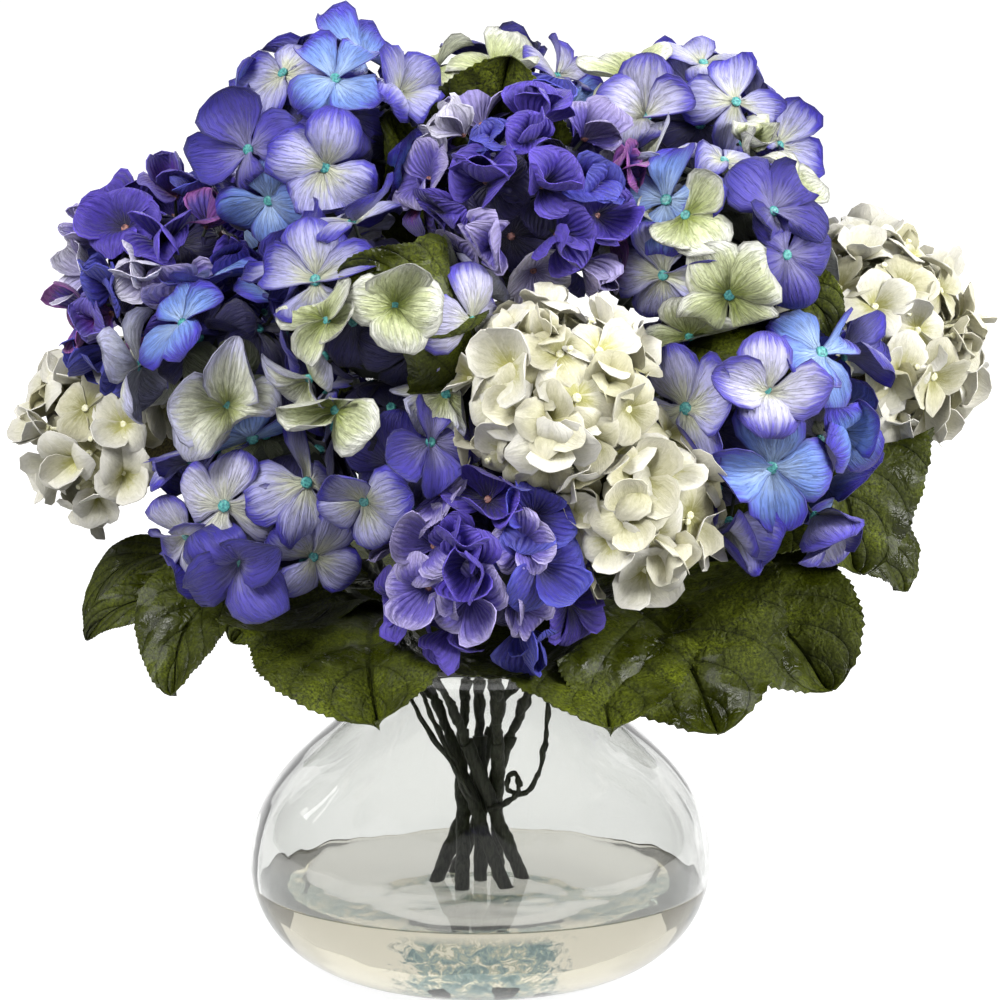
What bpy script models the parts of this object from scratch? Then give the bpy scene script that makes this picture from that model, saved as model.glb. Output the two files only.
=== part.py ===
"""Fabric hydrangeas in a squat glass vase, standing in clear set resin that looks like water.

Seven plastic-coated stems cross in a bundle inside the vase, stand in the resin and fork above it.
Each branch ends in one bloom: a core with four-petalled florets standing out of it.
Serrated leaves leave the branches above the lip and hang round the skirt of the bouquet.
Metres, +Z up, with the origin at the centre of the vase's flat underside.
"""

import math
import random

import bmesh
import bpy
from mathutils import Matrix, Vector

MM = 0.001
UP = Vector((0.0, 0.0, 1.0))
CLEARANCE = 0.3 * MM  # between pieces that touch on the real thing
MERGE_DISTANCE = 0.01 * MM

# Vase
BASE_RADIUS = 50 * MM
WAIST_RADIUS = 107.6 * MM
WAIST_HEIGHT = 53 * MM
SHOULDER_RISE = 49 * MM  # how far the shoulder's curve first heads straight up
NECK_RUN = 18 * MM  # and how it comes in to the neck
NECK_DROP = 28 * MM
NECK_RADIUS = 46 * MM
NECK_HEIGHT = 145 * MM
LIP_RADIUS = 52 * MM
VASE_HEIGHT = 155 * MM
GLASS_WALL = 3.5 * MM
GLASS_FLOOR = 8 * MM
FLOOR_FILLET = 12 * MM  # run of the sloping ring between the hollow's floor and its wall
WATER_LEVEL = 40 * MM
VASE_SEGMENTS = 24
BOWL_POINTS = 5
SHOULDER_POINTS = 4

# Stems
STEM_RADIUS = 3.6 * MM
STEM_SIDES = 6
BRANCH_RADIUS = 2.2 * MM
BRANCH_SIDES = 5
BRANCH_POINTS = 5
BRANCH_OVERLAP = 4 * MM  # how deep a branch starts inside its stem
RING_STEMS = 6
CROSSING_HEIGHT = 85 * MM
CROSSING_RADIUS = 8.4 * MM  # how far from the axis each outer stem passes
FORK_HEIGHT = 112 * MM
STEM_LEAN = math.radians(24)
STEM_SUNK = 9 * MM  # how deep the feet are cast into the resin
BRANCH_RISE = 0.35  # share of its reach that a branch follows its stem, before it bends away
BRANCH_ENTRY = 0.3  # share of its reach that it runs straight up into its bloom

# Blooms
BOUQUET_HEART = Vector((0.0, 0.0, 170 * MM))  # every bloom faces away from this point
PETAL_THICKNESS = 0.8 * MM
STALK_RADIUS = 1.3 * MM
CORE_SHARE = 0.58  # core radius over bloom radius
CORE_SIDES = 6
CORE_PROFILE = ((0, -1), (0.2, -1), (1, -0.1), (0.6, 0.75), (0, 1))
STALK_ROOT = 0.6  # how deep in the core a stalk is sunk, as a share of the core's radius
CAP_ANGLE = math.radians(98)  # how far round from its axis a bloom carries florets
SEAT_TRIALS = 500
LEVELS = 3  # no floret sits at the same height as the ones beside it
LEVEL_STEP = 3.5 * MM
BESIDE = 1.7  # florets nearer than this many spacings are beside one another
WRAP = 0.7  # how closely the petals follow the bloom's ball
NEIGHBOUR_MARGIN = 0.7 * MM  # from a bloom's petals to the plane shared with the next bloom
NEIGHBOUR_SEARCH = 14 * MM
SEAT_MARGIN = 1.5 * MM
NEIGHBOUR_SPACING = 0.6  # of the usual spacing, towards the florets of other blooms
TURN_UP = 0.5  # how far a petal rises for what it would run past such a plane
GOLDEN_ANGLE = math.pi * (3 - math.sqrt(5))

# name: (centre in mm, radius in mm, stem that carries it)
BLOOMS = {
    "blue_bloom_top_left": ((-68, -52, 394), 57, 0),
    "blue_bloom_crown": ((6, 14, 403), 46, 0),
    "purple_bloom_top": ((18, -100, 375), 56, 0),
    "purple_bloom_front_low": ((6, -145, 229), 54, 1),
    "white_bloom_front": ((31, -150, 296), 50, 1),
    "blue_bloom_front": ((-41, -133, 332), 56, 1),
    "blue_bloom_heart": ((-34, -132, 276), 54, 1),
    "white_bloom_front_right": ((64, -140, 250), 48, 2),
    "blue_bloom_right": ((120, -102, 279), 62, 2),
    "blue_bloom_right_high": ((102, -85, 352), 58, 2),
    "white_bloom_right": ((174, 0, 301), 61, 3),
    "blue_bloom_top_right": ((92, -22, 387), 57, 3),
    "purple_bloom_back_right": ((118, 90, 256), 58, 3),
    "white_bloom_back": ((4, 130, 250), 59, 4),
    "blue_bloom_back_high": ((84, 68, 340), 57, 4),
    "purple_bloom_back_high": ((0, 96, 342), 57, 4),
    "blue_bloom_back_left": ((-110, 88, 254), 59, 5),
    "blue_bloom_left_high": ((-88, 54, 344), 57, 5),
    "white_bloom_left": ((-166, -8, 260), 48, 5),
    "blue_bloom_left_low": ((-92, -100, 242), 56, 6),
    "blue_bloom_left": ((-110, -96, 300), 52, 6),
    "purple_bloom_left": ((-137, -40, 332), 55, 6),
}

# Each kind of floret: half span, lift of every other petal, and distance to its neighbours
FLORETS = {
    "blue": (31 * MM, 1.0 * MM, 47 * MM),
    "purple": (29 * MM, 2.0 * MM, 44 * MM),
    "white": (29 * MM, 1.5 * MM, 44 * MM),
}
# One petal's outline, as (degrees from the petal's middle, share of the half span)
PETAL_OUTLINE = ((-45, 0.42), (-24, 0.97), (24, 0.97))
PETALS = 4

COLOURS = {
    "blue": (0.16, 0.14, 0.62),
    "purple": (0.09, 0.04, 0.36),
    "white": (0.86, 0.84, 0.68),
}

# name: (bloom whose branch carries it, how far up it, shoulder in mm, tip in mm, width in mm)
LEAVES = {
    "leaf_front_left": ("blue_bloom_left_low", 0.55, (-56, -128, 212), (-44, -166, 155), 74),
    "leaf_front_right": ("purple_bloom_front_low", 0.50, (36, -132, 200), (34, -172, 152), 72),
    "leaf_right_front": ("white_bloom_front_right", 0.60, (98, -124, 224), (106, -150, 148), 80),
    "leaf_right_low": ("blue_bloom_right", 0.42, (160, -78, 206), (172, -92, 155), 72),
    "leaf_right_high": ("white_bloom_right", 0.70, (198, -56, 268), (186, -44, 187), 64),
    "leaf_right": ("white_bloom_right", 0.55, (196, 22, 224), (206, 30, 160), 70),
    "leaf_right_back": ("purple_bloom_back_right", 0.55, (136, 92, 204), (150, 108, 138), 76),
    "leaf_back_right": ("white_bloom_back", 0.50, (60, 136, 200), (62, 168, 134), 76),
    "leaf_back_left": ("blue_bloom_back_left", 0.62, (-56, 134, 206), (-52, 168, 136), 76),
    "leaf_left_back": ("blue_bloom_back_left", 0.42, (-146, 76, 196), (-150, 96, 141), 74),
    "leaf_left": ("white_bloom_left", 0.58, (-186, 14, 216), (-184, 8, 160), 60),
    "leaf_left_low": ("white_bloom_left", 0.40, (-160, -50, 200), (-166, -62, 163), 48),
    "leaf_left_front": ("blue_bloom_left", 0.46, (-140, -74, 212), (-140, -98, 160), 50),
    "leaf_top": ("blue_bloom_crown", 0.85, (4, -40, 377), (14, -46, 444), 46),
}
BLADE_THICKNESS = 0.9 * MM
BLADE_ROWS = 11
BLADE_FOLD = math.radians(16)
WIDEST_AT = 0.8  # below 1 moves the widest part of a blade towards its petiole
ROUNDNESS = 0.7  # below 1 makes its outline fuller
TOOTH = 0.09  # how far a tooth stands out, as a share of the half width
PETIOLE_WIDTH = 2.4 * MM
PETIOLE_LENGTH = 8 * MM
LEAF_MARGIN = 3 * MM  # between a blade and the blooms above it


def clear_scene():
    for existing in list(bpy.data.objects):
        bpy.data.objects.remove(existing)


def material(name, colour, roughness, alpha=1.0):
    made = bpy.data.materials.new(name)
    made.use_nodes = True
    shader = made.node_tree.nodes["Principled BSDF"]
    shader.inputs["Base Color"].default_value = (*colour, 1.0)
    shader.inputs["Roughness"].default_value = roughness
    shader.inputs["Metallic"].default_value = 0.0
    shader.inputs["Alpha"].default_value = alpha
    made.diffuse_color = (*colour, alpha)
    return made


def add_object(name, shape, look, smooth=False):
    """A named object from a bmesh, which it uses up."""
    mesh = bpy.data.meshes.new(name)
    shape.to_mesh(mesh)
    shape.free()
    mesh.materials.append(look)
    if smooth:
        mesh.shade_smooth()
    made = bpy.data.objects.new(name, mesh)
    bpy.context.scene.collection.objects.link(made)
    return made


def boolean(target, others, operation, solver="EXACT"):
    """Applies one Boolean with a collection of objects, and removes them."""
    group = bpy.data.collections.new("operands")
    bpy.context.scene.collection.children.link(group)
    for other in others:
        bpy.context.scene.collection.objects.unlink(other)
        group.objects.link(other)
    modifier = target.modifiers.new("join", "BOOLEAN")
    modifier.operation = operation
    modifier.operand_type = "COLLECTION"
    modifier.collection = group
    modifier.solver = solver
    bpy.context.view_layer.update()
    graph = bpy.context.evaluated_depsgraph_get()
    joined = bpy.data.meshes.new_from_object(target.evaluated_get(graph))
    target.modifiers.clear()
    target.data = joined
    for other in others:
        bpy.data.objects.remove(other)
    bpy.data.collections.remove(group)


def bezier(points, share):
    """A point of the Bezier curve with these control points."""
    points = list(points)
    while len(points) > 1:
        points = [a.lerp(b, share) for a, b in zip(points, points[1:])]
    return points[0]


def lathe(profile, segments):
    """A closed solid of revolution; the profile is (radius, height), from the axis back to it."""
    shape = bmesh.new()
    chain = [shape.verts.new((radius, 0.0, height)) for radius, height in profile]
    edges = [shape.edges.new(pair) for pair in zip(chain, chain[1:])]
    bmesh.ops.spin(
        shape, geom=chain + edges, cent=(0, 0, 0), axis=UP, angle=math.tau, steps=segments
    )
    bmesh.ops.remove_doubles(shape, verts=shape.verts, dist=MERGE_DISTANCE)
    bmesh.ops.recalc_face_normals(shape, faces=shape.faces)
    return shape


def tube(points, radius, sides):
    """A closed tube along points, with flat ends."""
    shape = bmesh.new()
    rings = []
    across = None
    for index, point in enumerate(points):
        before = points[max(index - 1, 0)]
        after = points[min(index + 1, len(points) - 1)]
        along = (after - before).normalized()
        across = along.orthogonal() if across is None else across - along * across.dot(along)
        across.normalize()
        turned = along.cross(across)
        ring = []
        for side in range(sides):
            angle = math.tau * side / sides
            offset = across * math.cos(angle) + turned * math.sin(angle)
            ring.append(shape.verts.new(point + offset * radius))
        rings.append(ring)
    for lower, upper in zip(rings, rings[1:]):
        for side in range(sides):
            other = (side + 1) % sides
            shape.faces.new((lower[side], lower[other], upper[other], upper[side]))
    shape.faces.new(rings[0][::-1])
    shape.faces.new(rings[-1])
    return shape


def outer_profile():
    """The vase's outside from its foot to its lip: a quarter ellipse, then a Bezier shoulder."""
    profile = []
    for step in range(BOWL_POINTS + 1):
        angle = math.pi / 2 * step / BOWL_POINTS
        radius = BASE_RADIUS + (WAIST_RADIUS - BASE_RADIUS) * math.sin(angle)
        profile.append((radius, WAIST_HEIGHT * (1 - math.cos(angle))))
    shoulder = [
        Vector((WAIST_RADIUS, WAIST_HEIGHT)),
        Vector((WAIST_RADIUS, WAIST_HEIGHT + SHOULDER_RISE)),
        Vector((NECK_RADIUS + NECK_RUN, NECK_HEIGHT - NECK_DROP)),
        Vector((NECK_RADIUS, NECK_HEIGHT)),
    ]
    for step in range(SHOULDER_POINTS):
        profile.append(tuple(bezier(shoulder, (step + 1) / SHOULDER_POINTS)))
    return profile + [(LIP_RADIUS, VASE_HEIGHT)]


def inner_profile(depth):
    """The hollow's wall at depth behind the outside, from the floor to the lip."""
    outside = outer_profile()
    wall = []
    for index, (radius, height) in enumerate(outside):
        before = outside[max(index - 1, 0)]
        after = outside[min(index + 1, len(outside) - 1)]
        run = Vector((after[0] - before[0], after[1] - before[1])).normalized()
        wall.append((radius - run.y * depth, height + run.x * depth))
    floor = GLASS_FLOOR + depth - GLASS_WALL
    wall = [point for point in wall if point[1] > floor + MM]
    foot = (wall[0][0] - FLOOR_FILLET, floor)
    return [foot] + wall[:-1] + [(wall[-1][0], VASE_HEIGHT)]


def make_vase():
    inside = inner_profile(GLASS_WALL)
    profile = [(0, 0)] + outer_profile() + inside[::-1] + [(0, GLASS_FLOOR)]
    glass = material("clear_glass", (0.9, 0.93, 0.93), 0.02, alpha=0.3)
    add_object("vase", lathe(profile, VASE_SEGMENTS), glass, smooth=True)


def make_water(stem_lines):
    """The resin fills the bottom of the bowl, with a plain blind hole for each stem's foot."""
    wall = inner_profile(GLASS_WALL + CLEARANCE)
    below = [point for point in wall if point[1] < WATER_LEVEL]
    (low_radius, low), (high_radius, high) = below[-1], wall[len(below)]
    share = (WATER_LEVEL - low) / (high - low)
    rim = (low_radius + (high_radius - low_radius) * share, WATER_LEVEL)
    profile = [(0, below[0][1])] + below + [rim, (0, WATER_LEVEL)]
    resin = material("clear_resin", (0.9, 0.88, 0.74), 0.03, alpha=0.4)
    water = add_object("resin_water", lathe(profile, VASE_SEGMENTS), resin)
    hole_radius = STEM_RADIUS + CLEARANCE / math.cos(math.pi / STEM_SIDES)
    cutters = []
    for foot, fork in stem_lines:
        deeper = foot + (foot - fork).normalized() * CLEARANCE
        cutters.append(add_object("hole", tube([deeper, fork], hole_radius, STEM_SIDES), resin))
    boolean(water, cutters, "DIFFERENCE")


def stem_line(index):
    """Foot and fork of one main stem. The first stands on the axis; six lean past it."""
    lean, side = Vector(), Vector()
    if index > 0:
        angle = math.tau * (index - 1) / RING_STEMS - math.pi / 2
        lean = Vector((math.cos(angle), math.sin(angle), 0)) * math.tan(STEM_LEAN)
        side = Vector((-math.sin(angle), math.cos(angle), 0)) * CROSSING_RADIUS
    foot_height = WATER_LEVEL - STEM_SUNK
    foot = side + lean * (foot_height - CROSSING_HEIGHT) + UP * foot_height
    fork = side + lean * (FORK_HEIGHT - CROSSING_HEIGHT) + UP * FORK_HEIGHT
    return foot, fork


def bloom_ball(name):
    """A bloom's centre and radius, and the direction that it faces."""
    centre_mm, radius_mm, _ = BLOOMS[name]
    centre = Vector(centre_mm) * MM
    return centre, radius_mm * MM, (centre - BOUQUET_HEART).normalized()


def facing(direction):
    """The rotation that turns +Z to a direction."""
    return direction.to_track_quat("Z", "Y").to_matrix()


def neighbour_planes(name):
    """(normal, offset) of the planes where this bloom's ball meets its neighbours' balls."""
    centre, radius, _ = bloom_ball(name)
    planes = []
    for other in BLOOMS:
        other_centre, other_radius, _ = bloom_ball(other)
        gap = other_centre - centre
        distance = gap.length
        if other == name or distance > radius + other_radius + NEIGHBOUR_SEARCH:
            continue
        reach = (distance**2 + radius**2 - other_radius**2) / (2 * distance)
        normal = gap / distance
        planes.append((normal, normal.dot(centre) + reach - NEIGHBOUR_MARGIN))
    return planes


def core_radius(name):
    """The core keeps inside its own share of the bouquet."""
    centre, radius, _ = bloom_ball(name)
    rooms = [offset - normal.dot(centre) for normal, offset in neighbour_planes(name)]
    return min([radius * CORE_SHARE] + rooms)


def branch_path(name):
    """From inside the fork to the underside of the bloom's core."""
    centre, _, axis = bloom_ball(name)
    foot, fork = stem_line(BLOOMS[name][2])
    along = (fork - foot).normalized()
    start = fork - along * BRANCH_OVERLAP
    end = centre - axis * (core_radius(name) + CLEARANCE)
    reach = (end - start).length
    rise, entry = along * reach * BRANCH_RISE, axis * reach * BRANCH_ENTRY
    control = [start, start + rise, end - entry, end]
    return [bezier(control, step / BRANCH_POINTS) for step in range(BRANCH_POINTS + 1)]


def make_stem(index, look):
    line = tube(stem_line(index), STEM_RADIUS, STEM_SIDES)
    stem = add_object(f"stem_{index + 1}", line, look)
    branches = []
    for name, row in BLOOMS.items():
        if row[2] == index:
            shape = tube(branch_path(name), BRANCH_RADIUS, BRANCH_SIDES)
            branches.append(add_object("branch", shape, look))
    boolean(stem, branches, "UNION")


def bend_clear(point, outward, planes):
    """The point moved back behind every plane. A petal that meets one turns up along it."""
    for attempt in range(6):
        for normal, offset in planes:
            past = normal.dot(point) - (offset - PETAL_THICKNESS)
            if past <= 0:
                continue
            point = point - normal * past
            if attempt == 0:
                slide = outward - normal * outward.dot(normal)
                point = point + slide * past * TURN_UP
    return point


def floret_seats():
    """Where each bloom's florets sit, as (ray, level), even over what its neighbours leave open."""
    taken = []
    seats = {}
    for name in BLOOMS:
        centre, radius, axis = bloom_ball(name)
        planes = neighbour_planes(name)
        spacing = FLORETS[name.split("_")[0]][2]
        seats[name] = []
        for trial in range(SEAT_TRIALS):
            height = 1 - (trial + 0.5) / SEAT_TRIALS * (1 - math.cos(CAP_ANGLE))
            across = math.sqrt(1 - height**2)
            around = trial * GOLDEN_ANGLE
            ray = Vector((across * math.cos(around), across * math.sin(around), height))
            ray = facing(axis) @ ray
            seat = centre + ray * radius
            if any(normal.dot(seat) > offset - SEAT_MARGIN for normal, offset in planes):
                continue
            beside = [row for row in taken if (seat - row[0]).length < spacing * BESIDE]
            rooms = [(seat - row[0]).length / (1 if row[2] == name else NEIGHBOUR_SPACING)
                     for row in beside]
            if min(rooms, default=spacing) < spacing:
                continue
            free = [level for level in range(LEVELS) if all(row[1] != level for row in beside)]
            level = free[0] if free else trial % LEVELS
            taken.append((seat, level, name))
            seats[name].append((ray, level))
    return seats


def floret_rim(kind, seat, axis, turn, planes, centre):
    """The outline of four petals, laid over the bloom's ball and bent clear of its neighbours."""
    half_span, lift, _ = FLORETS[kind]
    frame = facing(axis) @ Matrix.Rotation(turn, 3, "Z")
    radius = (seat - centre).length
    rim = []
    for petal in range(PETALS):
        for degrees, share in PETAL_OUTLINE:
            angle = math.radians(degrees) + math.tau * petal / PETALS
            flat = Vector((math.cos(angle), math.sin(angle), 0)) * half_span * share
            flat = seat + frame @ flat
            wrapped = centre + (flat - centre).normalized() * radius
            point = flat.lerp(wrapped, WRAP) + axis * lift * (-1) ** petal * share
            rim.append(bend_clear(point, axis, planes))
    return rim


def floret_shape(rim, seat, axis, root):
    """A closed solid: a thin blade with this rim, on a three-sided stalk from the core."""
    half = axis * PETAL_THICKNESS / 2
    shape = bmesh.new()
    heart = shape.verts.new(seat + half)
    top = [shape.verts.new(point + half) for point in rim]
    bottom = [shape.verts.new(point - half) for point in rim]
    start = rim[0] - seat
    start = (start - axis * start.dot(axis)).normalized() * STALK_RADIUS
    corners = [Matrix.Rotation(math.tau * (side + 0.5) / 3, 3, axis) @ start for side in range(3)]
    neck = [shape.verts.new(seat - half + corner) for corner in corners]
    foot = [shape.verts.new(root + corner) for corner in corners]
    count = len(rim)
    for index in range(count):
        other = (index + 1) % count
        shape.faces.new((heart, top[index], top[other]))
        shape.faces.new((top[index], bottom[index], bottom[other]))
        shape.faces.new((top[index], bottom[other], top[other]))
        here, there = 3 * index // count, 3 * other // count
        shape.faces.new((bottom[other], bottom[index], neck[here]))
        if here != there:
            shape.faces.new((bottom[other], neck[here], neck[there]))
    for corner in range(3):
        other = (corner + 1) % 3
        shape.faces.new((neck[other], neck[corner], foot[corner], foot[other]))
    shape.faces.new(foot[::-1])
    bmesh.ops.triangulate(shape, faces=[face for face in shape.faces if len(face.verts) > 3])
    bmesh.ops.recalc_face_normals(shape, faces=shape.faces)
    return shape


def make_bloom(name, seats, look):
    centre, radius, axis = bloom_ball(name)
    core = core_radius(name)
    ball = lathe([(core * across, core * along) for across, along in CORE_PROFILE], CORE_SIDES)
    place = Matrix.Translation(centre) @ facing(axis).to_4x4()
    bmesh.ops.transform(ball, matrix=place, verts=ball.verts)
    bloom = add_object(name, ball, look)
    planes = neighbour_planes(name)
    chance = random.Random(name)
    florets = []
    for ray, level in seats:
        seat = centre + ray * (radius - level * LEVEL_STEP)
        turn = chance.uniform(0, math.tau)
        rim = floret_rim(name.split("_")[0], seat, ray, turn, planes, centre)
        shape = floret_shape(rim, seat, ray, centre + ray * core * STALK_ROOT)
        florets.append(add_object("floret", shape, look))
    # The exact solver leaves loose scraps where one petal grazes another.
    boolean(bloom, florets, "UNION", solver="MANIFOLD")


def clear_of_blooms(point):
    """The point moved out of every bloom's ball."""
    for _ in range(4):
        for name in BLOOMS:
            centre, radius, _ = bloom_ball(name)
            gap = point - centre
            if gap.length < radius + LEAF_MARGIN:
                point = centre + gap.normalized() * (radius + LEAF_MARGIN)
    return point


def leaf_rib(name):
    """The leaf's midrib, from 0.3 mm off its branch, square to it, over a shoulder to the tip."""
    bloom, share, shoulder_mm, tip_mm, _ = LEAVES[name]
    path = branch_path(bloom)
    position = share * (len(path) - 1)
    index = int(position)
    start = path[index].lerp(path[index + 1], position - index)
    along = (path[index + 1] - path[index]).normalized()
    shoulder, tip = Vector(shoulder_mm) * MM, Vector(tip_mm) * MM
    away = shoulder - start
    away = (away - along * away.dot(along)).normalized()
    start = start + away * (BRANCH_RADIUS + CLEARANCE)
    petiole = start + away * PETIOLE_LENGTH
    blade = [bezier((petiole, shoulder, tip), (row + 1) / BLADE_ROWS) for row in range(BLADE_ROWS)]
    return [start, petiole] + blade


def leaf_sections(name):
    """For each point of the rib: the point, both edges, and half the thickness as a vector."""
    rib = leaf_rib(name)
    width = LEAVES[name][4] * MM
    sections = []
    for row, point in enumerate(rib):
        run = rib[min(row + 1, len(rib) - 1)] - rib[max(row - 1, 0)]
        if row == 0:
            run = rib[1] - rib[0]
        side = run.cross(UP).normalized()
        normal = side.cross(run).normalized()
        if row < 2:
            arm = side * PETIOLE_WIDTH / 2
            sections.append((point, point + arm, point - arm, normal * PETIOLE_WIDTH / 2))
            continue
        swell = math.sin(math.pi * ((row - 1) / BLADE_ROWS) ** WIDEST_AT) ** ROUNDNESS
        half_width = width / 2 * swell * (1 + TOOTH * (-1) ** row)
        half_width = max(half_width, PETIOLE_WIDTH / 2)
        arm = side * half_width * math.cos(BLADE_FOLD)
        lift = normal * half_width * math.sin(BLADE_FOLD)
        points = [clear_of_blooms(p) for p in (point, point + lift + arm, point + lift - arm)]
        sections.append((*points, normal * BLADE_THICKNESS / 2))
    return sections


def make_leaf(name, look):
    """A serrated blade folded along its rib, and the petiole that it hangs by, in one solid."""
    sections = leaf_sections(name)
    shape = bmesh.new()
    rims = []
    for level in (1, -1):
        grid = []
        for point, right, left, half in sections[:-1]:
            grid.append([shape.verts.new(p + half * level) for p in (right, point, left)])
        tip_point, _, _, half = sections[-1]
        tip = shape.verts.new(tip_point + half * level)
        for lower, upper in zip(grid, grid[1:]):
            shape.faces.new((lower[0], upper[0], upper[1])[::level])
            shape.faces.new((lower[0], upper[1], lower[1])[::level])
            shape.faces.new((lower[2], lower[1], upper[1])[::level])
            shape.faces.new((lower[2], upper[1], upper[2])[::level])
        shape.faces.new((grid[-1][0], tip, grid[-1][1])[::level])
        shape.faces.new((grid[-1][1], tip, grid[-1][2])[::level])
        right_edge = [row[0] for row in grid]
        left_edge = [row[2] for row in grid]
        rims.append(right_edge + [tip] + left_edge[::-1] + [grid[0][1]])
    upper_rim, lower_rim = rims
    for index in range(len(upper_rim)):
        other = (index + 1) % len(upper_rim)
        shape.faces.new((upper_rim[index], lower_rim[index], lower_rim[other]))
        shape.faces.new((upper_rim[index], lower_rim[other], upper_rim[other]))
    bmesh.ops.recalc_face_normals(shape, faces=shape.faces)
    add_object(name, shape, look)


def main():
    clear_scene()
    make_vase()
    stems = range(RING_STEMS + 1)
    make_water([stem_line(index) for index in stems])
    bark = material("dark_green_plastic", (0.03, 0.04, 0.025), 0.6)
    for index in stems:
        make_stem(index, bark)
    looks = {kind: material(f"{kind}_petal", colour, 0.75) for kind, colour in COLOURS.items()}
    for name, seats in floret_seats().items():
        make_bloom(name, seats, looks[name.split("_")[0]])
    green = material("leaf_cloth", (0.05, 0.08, 0.02), 0.45)
    for name in LEAVES:
        make_leaf(name, green)


main()
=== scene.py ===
import math
import random

import bpy
import numpy as np
from mathutils import Matrix, Vector


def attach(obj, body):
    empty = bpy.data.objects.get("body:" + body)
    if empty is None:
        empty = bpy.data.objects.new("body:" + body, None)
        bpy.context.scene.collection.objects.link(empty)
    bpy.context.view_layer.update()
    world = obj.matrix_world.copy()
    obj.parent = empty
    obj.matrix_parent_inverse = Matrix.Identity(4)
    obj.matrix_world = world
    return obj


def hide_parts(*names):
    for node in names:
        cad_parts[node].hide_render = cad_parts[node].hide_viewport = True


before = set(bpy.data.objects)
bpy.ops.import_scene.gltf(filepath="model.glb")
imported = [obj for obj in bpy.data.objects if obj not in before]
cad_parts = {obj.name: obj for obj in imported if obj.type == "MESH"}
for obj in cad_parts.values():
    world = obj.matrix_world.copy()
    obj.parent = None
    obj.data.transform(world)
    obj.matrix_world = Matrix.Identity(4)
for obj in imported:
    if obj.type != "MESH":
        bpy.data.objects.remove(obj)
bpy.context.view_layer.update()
MM = 0.001
UP = Vector((0, 0, 1))

# Camera
# The arrangement stands on a white table 2.4 m from a long portrait lens, which looks down on it
# by 9.6 degrees. The focal length is in pixels of the photograph, which is 1000 of them wide.
CAMERA_DISTANCE = 2.4
CAMERA_PITCH = math.radians(9.6)
CAMERA_TARGET = Vector((0.0094, 0, 0.2268))
FOCAL_PIXELS = 5106.5
PHOTO_PIXELS = 1000
PHOTO_MIDDLE = PHOTO_PIXELS / 2
view_line = Vector((0, math.cos(CAMERA_PITCH), -math.sin(CAMERA_PITCH)))
view_up = Vector((0, math.sin(CAMERA_PITCH), math.cos(CAMERA_PITCH)))
camera_place = CAMERA_TARGET - view_line * CAMERA_DISTANCE
bpy.ops.object.camera_add(location=camera_place, rotation=(math.pi / 2 - CAMERA_PITCH, 0, 0))
camera = bpy.context.object
camera.name = "camera"
camera.data.sensor_width = 36
camera.data.lens = camera.data.sensor_width * FOCAL_PIXELS / PHOTO_PIXELS
camera.data.clip_end = 20
bpy.context.scene.camera = camera


# Vase
# One piece of clear soda-lime glass, blown into a mould: a thick flat foot, a low wide bowl, and a
# shoulder drawn in to a short neck with a fire-polished lip.
BASE_RADIUS = 50 * MM
WAIST_RADIUS = 109.4 * MM
WAIST_HEIGHT = 53 * MM
SHOULDER_RISE = 49 * MM  # how far the shoulder's curve first heads straight up
NECK_RUN = 18 * MM  # and how it comes in to the neck
NECK_DROP = 28 * MM
NECK_RADIUS = 46 * MM
NECK_HEIGHT = 145 * MM
LIP_RADIUS = 52 * MM
VASE_HEIGHT = 155 * MM
GLASS_WALL = 3.5 * MM
GLASS_FLOOR = 8 * MM
FLOOR_FILLET = 12 * MM  # run of the slope between the hollow's floor and its wall
FOOT_EDGE = 2.5 * MM  # the foot's rounded corner
FOOT_DISH = 0.8 * MM  # how far its underside stands off the table
DISH_RADIUS = 45 * MM
DISH_UNEVEN = 0.7 * MM
LIP_EDGE = 0.8 * MM  # the lip's rounded corners
LATHE_STEPS = 96
WATER_LEVEL = 45 * MM  # how high the resin stands


def bezier(points, share):
    """A point of the Bezier curve with these control points."""
    points = list(points)
    while len(points) > 1:
        points = [a.lerp(b, share) for a, b in zip(points, points[1:])]
    return points[0]


def vase_outside():
    """(radius, height) from the foot to the lip: a quarter ellipse, then a Bezier shoulder."""
    shoulder = [
        Vector((WAIST_RADIUS, WAIST_HEIGHT)),
        Vector((WAIST_RADIUS, WAIST_HEIGHT + SHOULDER_RISE)),
        Vector((NECK_RADIUS + NECK_RUN, NECK_HEIGHT - NECK_DROP)),
        Vector((NECK_RADIUS, NECK_HEIGHT)),
    ]
    angles = [math.pi / 2 * step / 16 for step in range(17)]
    bowl = [(BASE_RADIUS + (WAIST_RADIUS - BASE_RADIUS) * math.sin(angle),
             WAIST_HEIGHT * (1 - math.cos(angle))) for angle in angles]
    rise = [tuple(bezier(shoulder, (step + 1) / 16)) for step in range(16)]
    return bowl + rise + [(NECK_RADIUS + 2 * MM, NECK_HEIGHT + 5 * MM), (LIP_RADIUS, VASE_HEIGHT)]


def vase_inside(depth):
    """The hollow's wall at a depth behind the outside, from the floor to the lip."""
    outside = vase_outside()
    wall = []
    for index, (radius, height) in enumerate(outside):
        before, after = outside[max(index - 1, 0)], outside[min(index + 1, len(outside) - 1)]
        run = Vector((after[0] - before[0], after[1] - before[1])).normalized()
        wall.append((radius - run.y * depth, height + run.x * depth))
    floor = GLASS_FLOOR + depth - GLASS_WALL
    wall = [point for point in wall if point[1] > floor + MM]
    return [(wall[0][0] - FLOOR_FILLET, floor)] + wall[:-1] + [(wall[-1][0], VASE_HEIGHT)]


def filled_to_level(wall):
    """The part of a wall's profile below the resin's level, and its point at that level."""
    below = [point for point in wall if point[1] < WATER_LEVEL - 0.1 * MM]
    (low_radius, low), (high_radius, high) = below[-1], wall[len(below)]
    share = (WATER_LEVEL - low) / (high - low)
    return below, (low_radius + (high_radius - low_radius) * share, WATER_LEVEL)


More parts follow.
